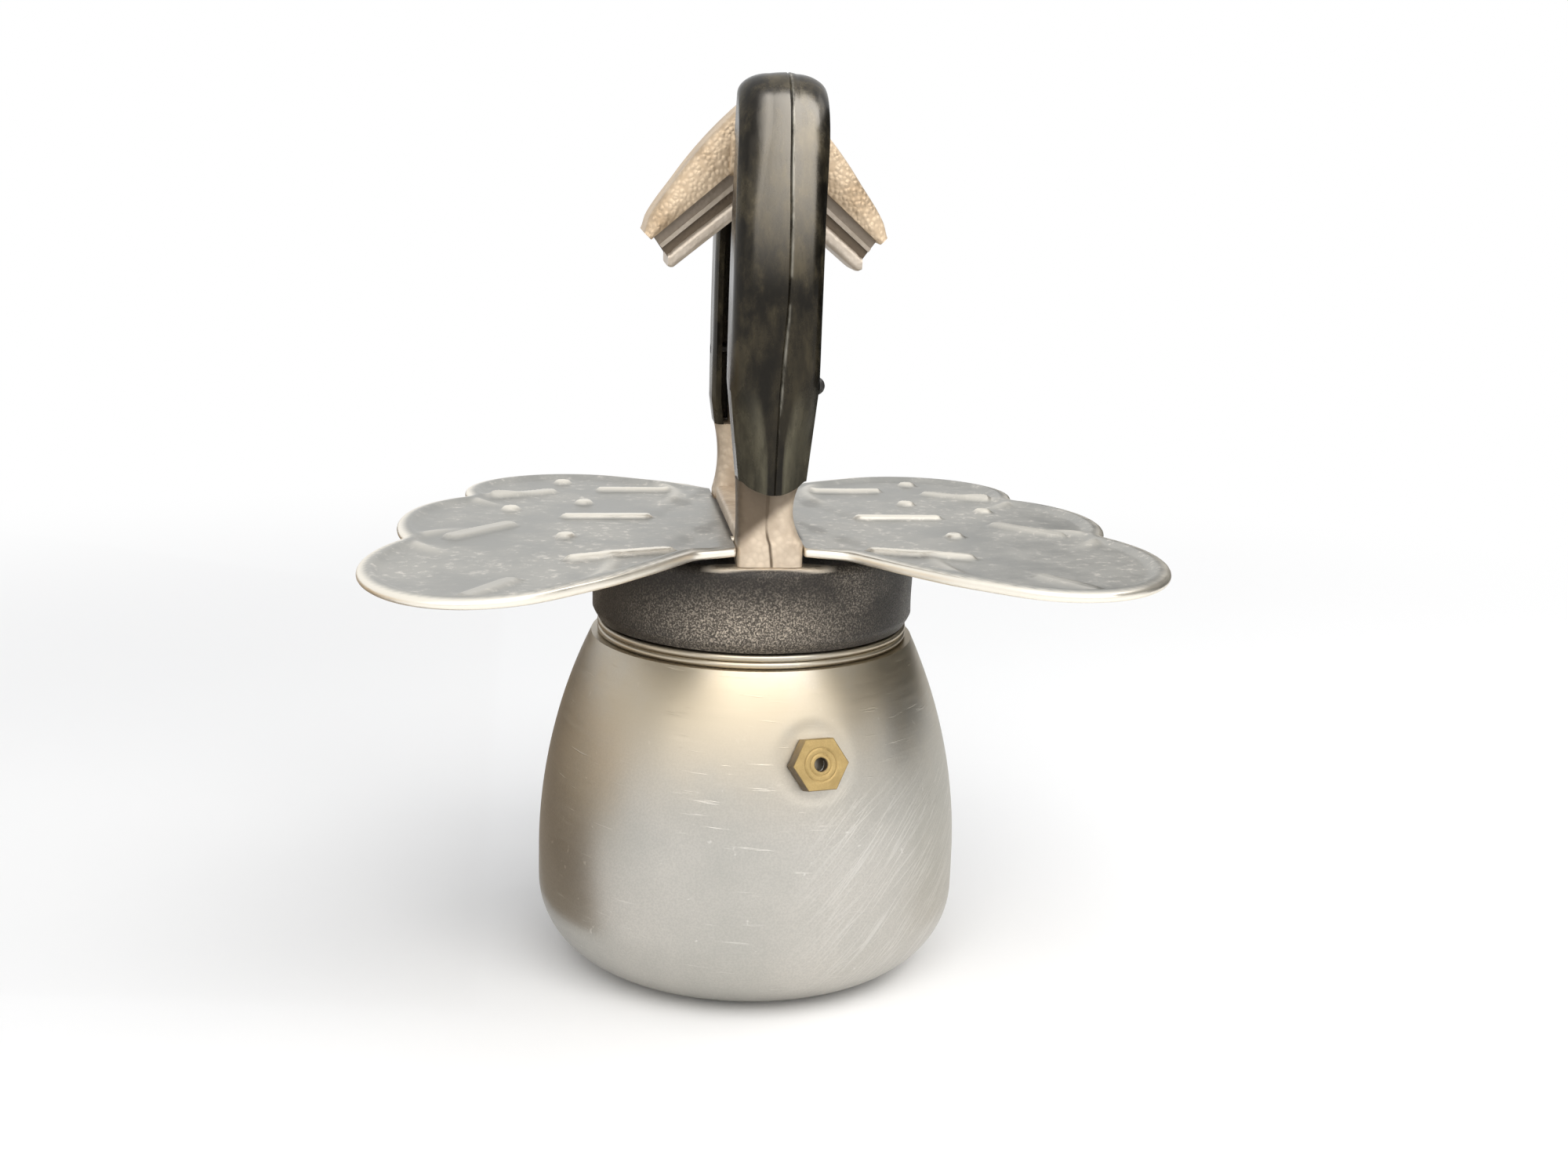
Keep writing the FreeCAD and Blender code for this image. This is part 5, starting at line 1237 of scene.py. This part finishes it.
upright_card("dark_card_right", (0.26, -0.05), (0.08, 0.45), 0.045, 0.34, 0.10, DARK, (0.04, 0.04, 0.035))
upright_card("dark_card_front", (0.25, -0.20), (0.26, -0.05), 0.13, 0.36, 0.34, DARK, DARK)
upright_card("warm_card_left", (-0.34, -0.10), (-0.08, 0.45), 0.0, 0.085, 0.085, (0.66, 0.53, 0.37),
             (0.11, 0.08, 0.05))
for name, near_x, far_x, edge, tone in (
        ("floor_card_left", -0.055, -0.30, (0.40, 0.34, 0.27), (0.20, 0.15, 0.10)),
        ("floor_card_right", 0.055, 0.30, (0.80, 0.78, 0.74), (0.75, 0.74, 0.70))):
    corners = [(near_x, -0.03, CARD_LIFT), (far_x, 0.0, CARD_LIFT), (far_x, 0.45, CARD_LIFT),
               (near_x, 0.30, CARD_LIFT)]
    reflection_card(name, corners, card_paint(name, tone, "X", near_x, 2.0 * near_x, edge, tone))

# %% [markdown]
# The satin top of the grip's front shows a bright window. A bright card that every piece sees would wash
# out the tray, so this one is clear to all rays except those that start at the top of the front leg's grip.
# A ray's start is where it lands, plus its length back along the way it came.

# %% Window in the grip
def beam_finish():
    """Glow for rays that start within limits of X, Y and Z at the grip's top, and clear for the rest."""
    beam = Finish("sky_card", (0.0, 0.0, 0.0), 0.0, 0.9)
    spot = beam.add("NewGeometry", {}).outputs
    reach = beam.add("LightPath", {}).outputs["Ray Length"]
    back = beam.add("VectorMath", {0: spot["Incoming"], "Scale": reach}, operation="SCALE")
    back_along = {0: spot["Position"], 1: back.outputs["Vector"]}
    origin = beam.add("VectorMath", back_along, operation="ADD").outputs["Vector"]
    start = beam.add("SeparateXYZ", {"Vector": origin}).outputs
    aside = beam.add("Math", {0: start["X"]}, operation="ABSOLUTE").outputs["Value"]
    on_leg = beam.work("MULTIPLY", beam.span(start["Y"], -0.014, -0.022), beam.span(aside, 0.0102, 0.0092))
    on_grip = beam.work("MULTIPLY", beam.span(start["Z"], 0.136, 0.167), on_leg)
    across = beam.add("SeparateXYZ", {"Vector": spot["Position"]}).outputs["X"]
    share = beam.work("MULTIPLY", on_grip, beam.span(across, -0.20, 0.06))
    glow = beam.add("Emission", {"Color": (1.0, 0.98, 0.95, 1.0), "Strength": 20.0}).outputs["Emission"]
    beam.show_mix(share, beam.add("BsdfTransparent", {}).outputs["BSDF"], glow)
    return beam.material


sky_corners = [(-0.20, -0.54, 0.12), (0.50, -0.54, 0.12), (0.50, -0.02, 0.70), (-0.20, -0.02, 0.70)]
reflection_card("sky_card", sky_corners, beam_finish())

# %% [markdown]
# The camera stands where the photograph was taken from: a little left of the front leg, just below the top
# of the handle and looking down. Its axes are written as a matrix, because the view has a small roll.

# %% Camera
IMAGE_WIDTH = 2000
FOCAL_PIXELS = 2594.5
distance, eye_height = 0.39895, 0.16889
azimuth, pan, tilt, roll = (math.radians(angle) for angle in (-6.12, -0.92, 13.08, 1.70))
eye = np.array([distance * math.sin(azimuth), -distance * math.cos(azimuth), eye_height])
heading = azimuth + pan
level_right = np.array([math.cos(heading), math.sin(heading), 0.0])
level_ahead = np.array([-math.sin(heading), math.cos(heading), 0.0])
ahead = level_ahead * math.cos(tilt) - np.array([0, 0, 1.0]) * math.sin(tilt)
upward = np.cross(level_right, ahead)
right = level_right * math.cos(roll) + upward * math.sin(roll)
up = -level_right * math.sin(roll) + upward * math.cos(roll)
lens = bpy.data.cameras.new("photo_camera")
lens.sensor_width = 36.0
lens.lens = FOCAL_PIXELS / IMAGE_WIDTH * lens.sensor_width
lens.clip_start = 0.01
camera = bpy.data.objects.new("photo_camera", lens)
bpy.context.scene.collection.objects.link(camera)
matrix = np.eye(4)
matrix[:3, 0], matrix[:3, 1], matrix[:3, 2], matrix[:3, 3] = right, up, -ahead, eye
camera.matrix_world = Matrix(matrix.tolist())
bpy.context.scene.camera = camera
bpy.context.scene.view_settings.view_transform = "Standard"
print("camera at", eye.round(3))
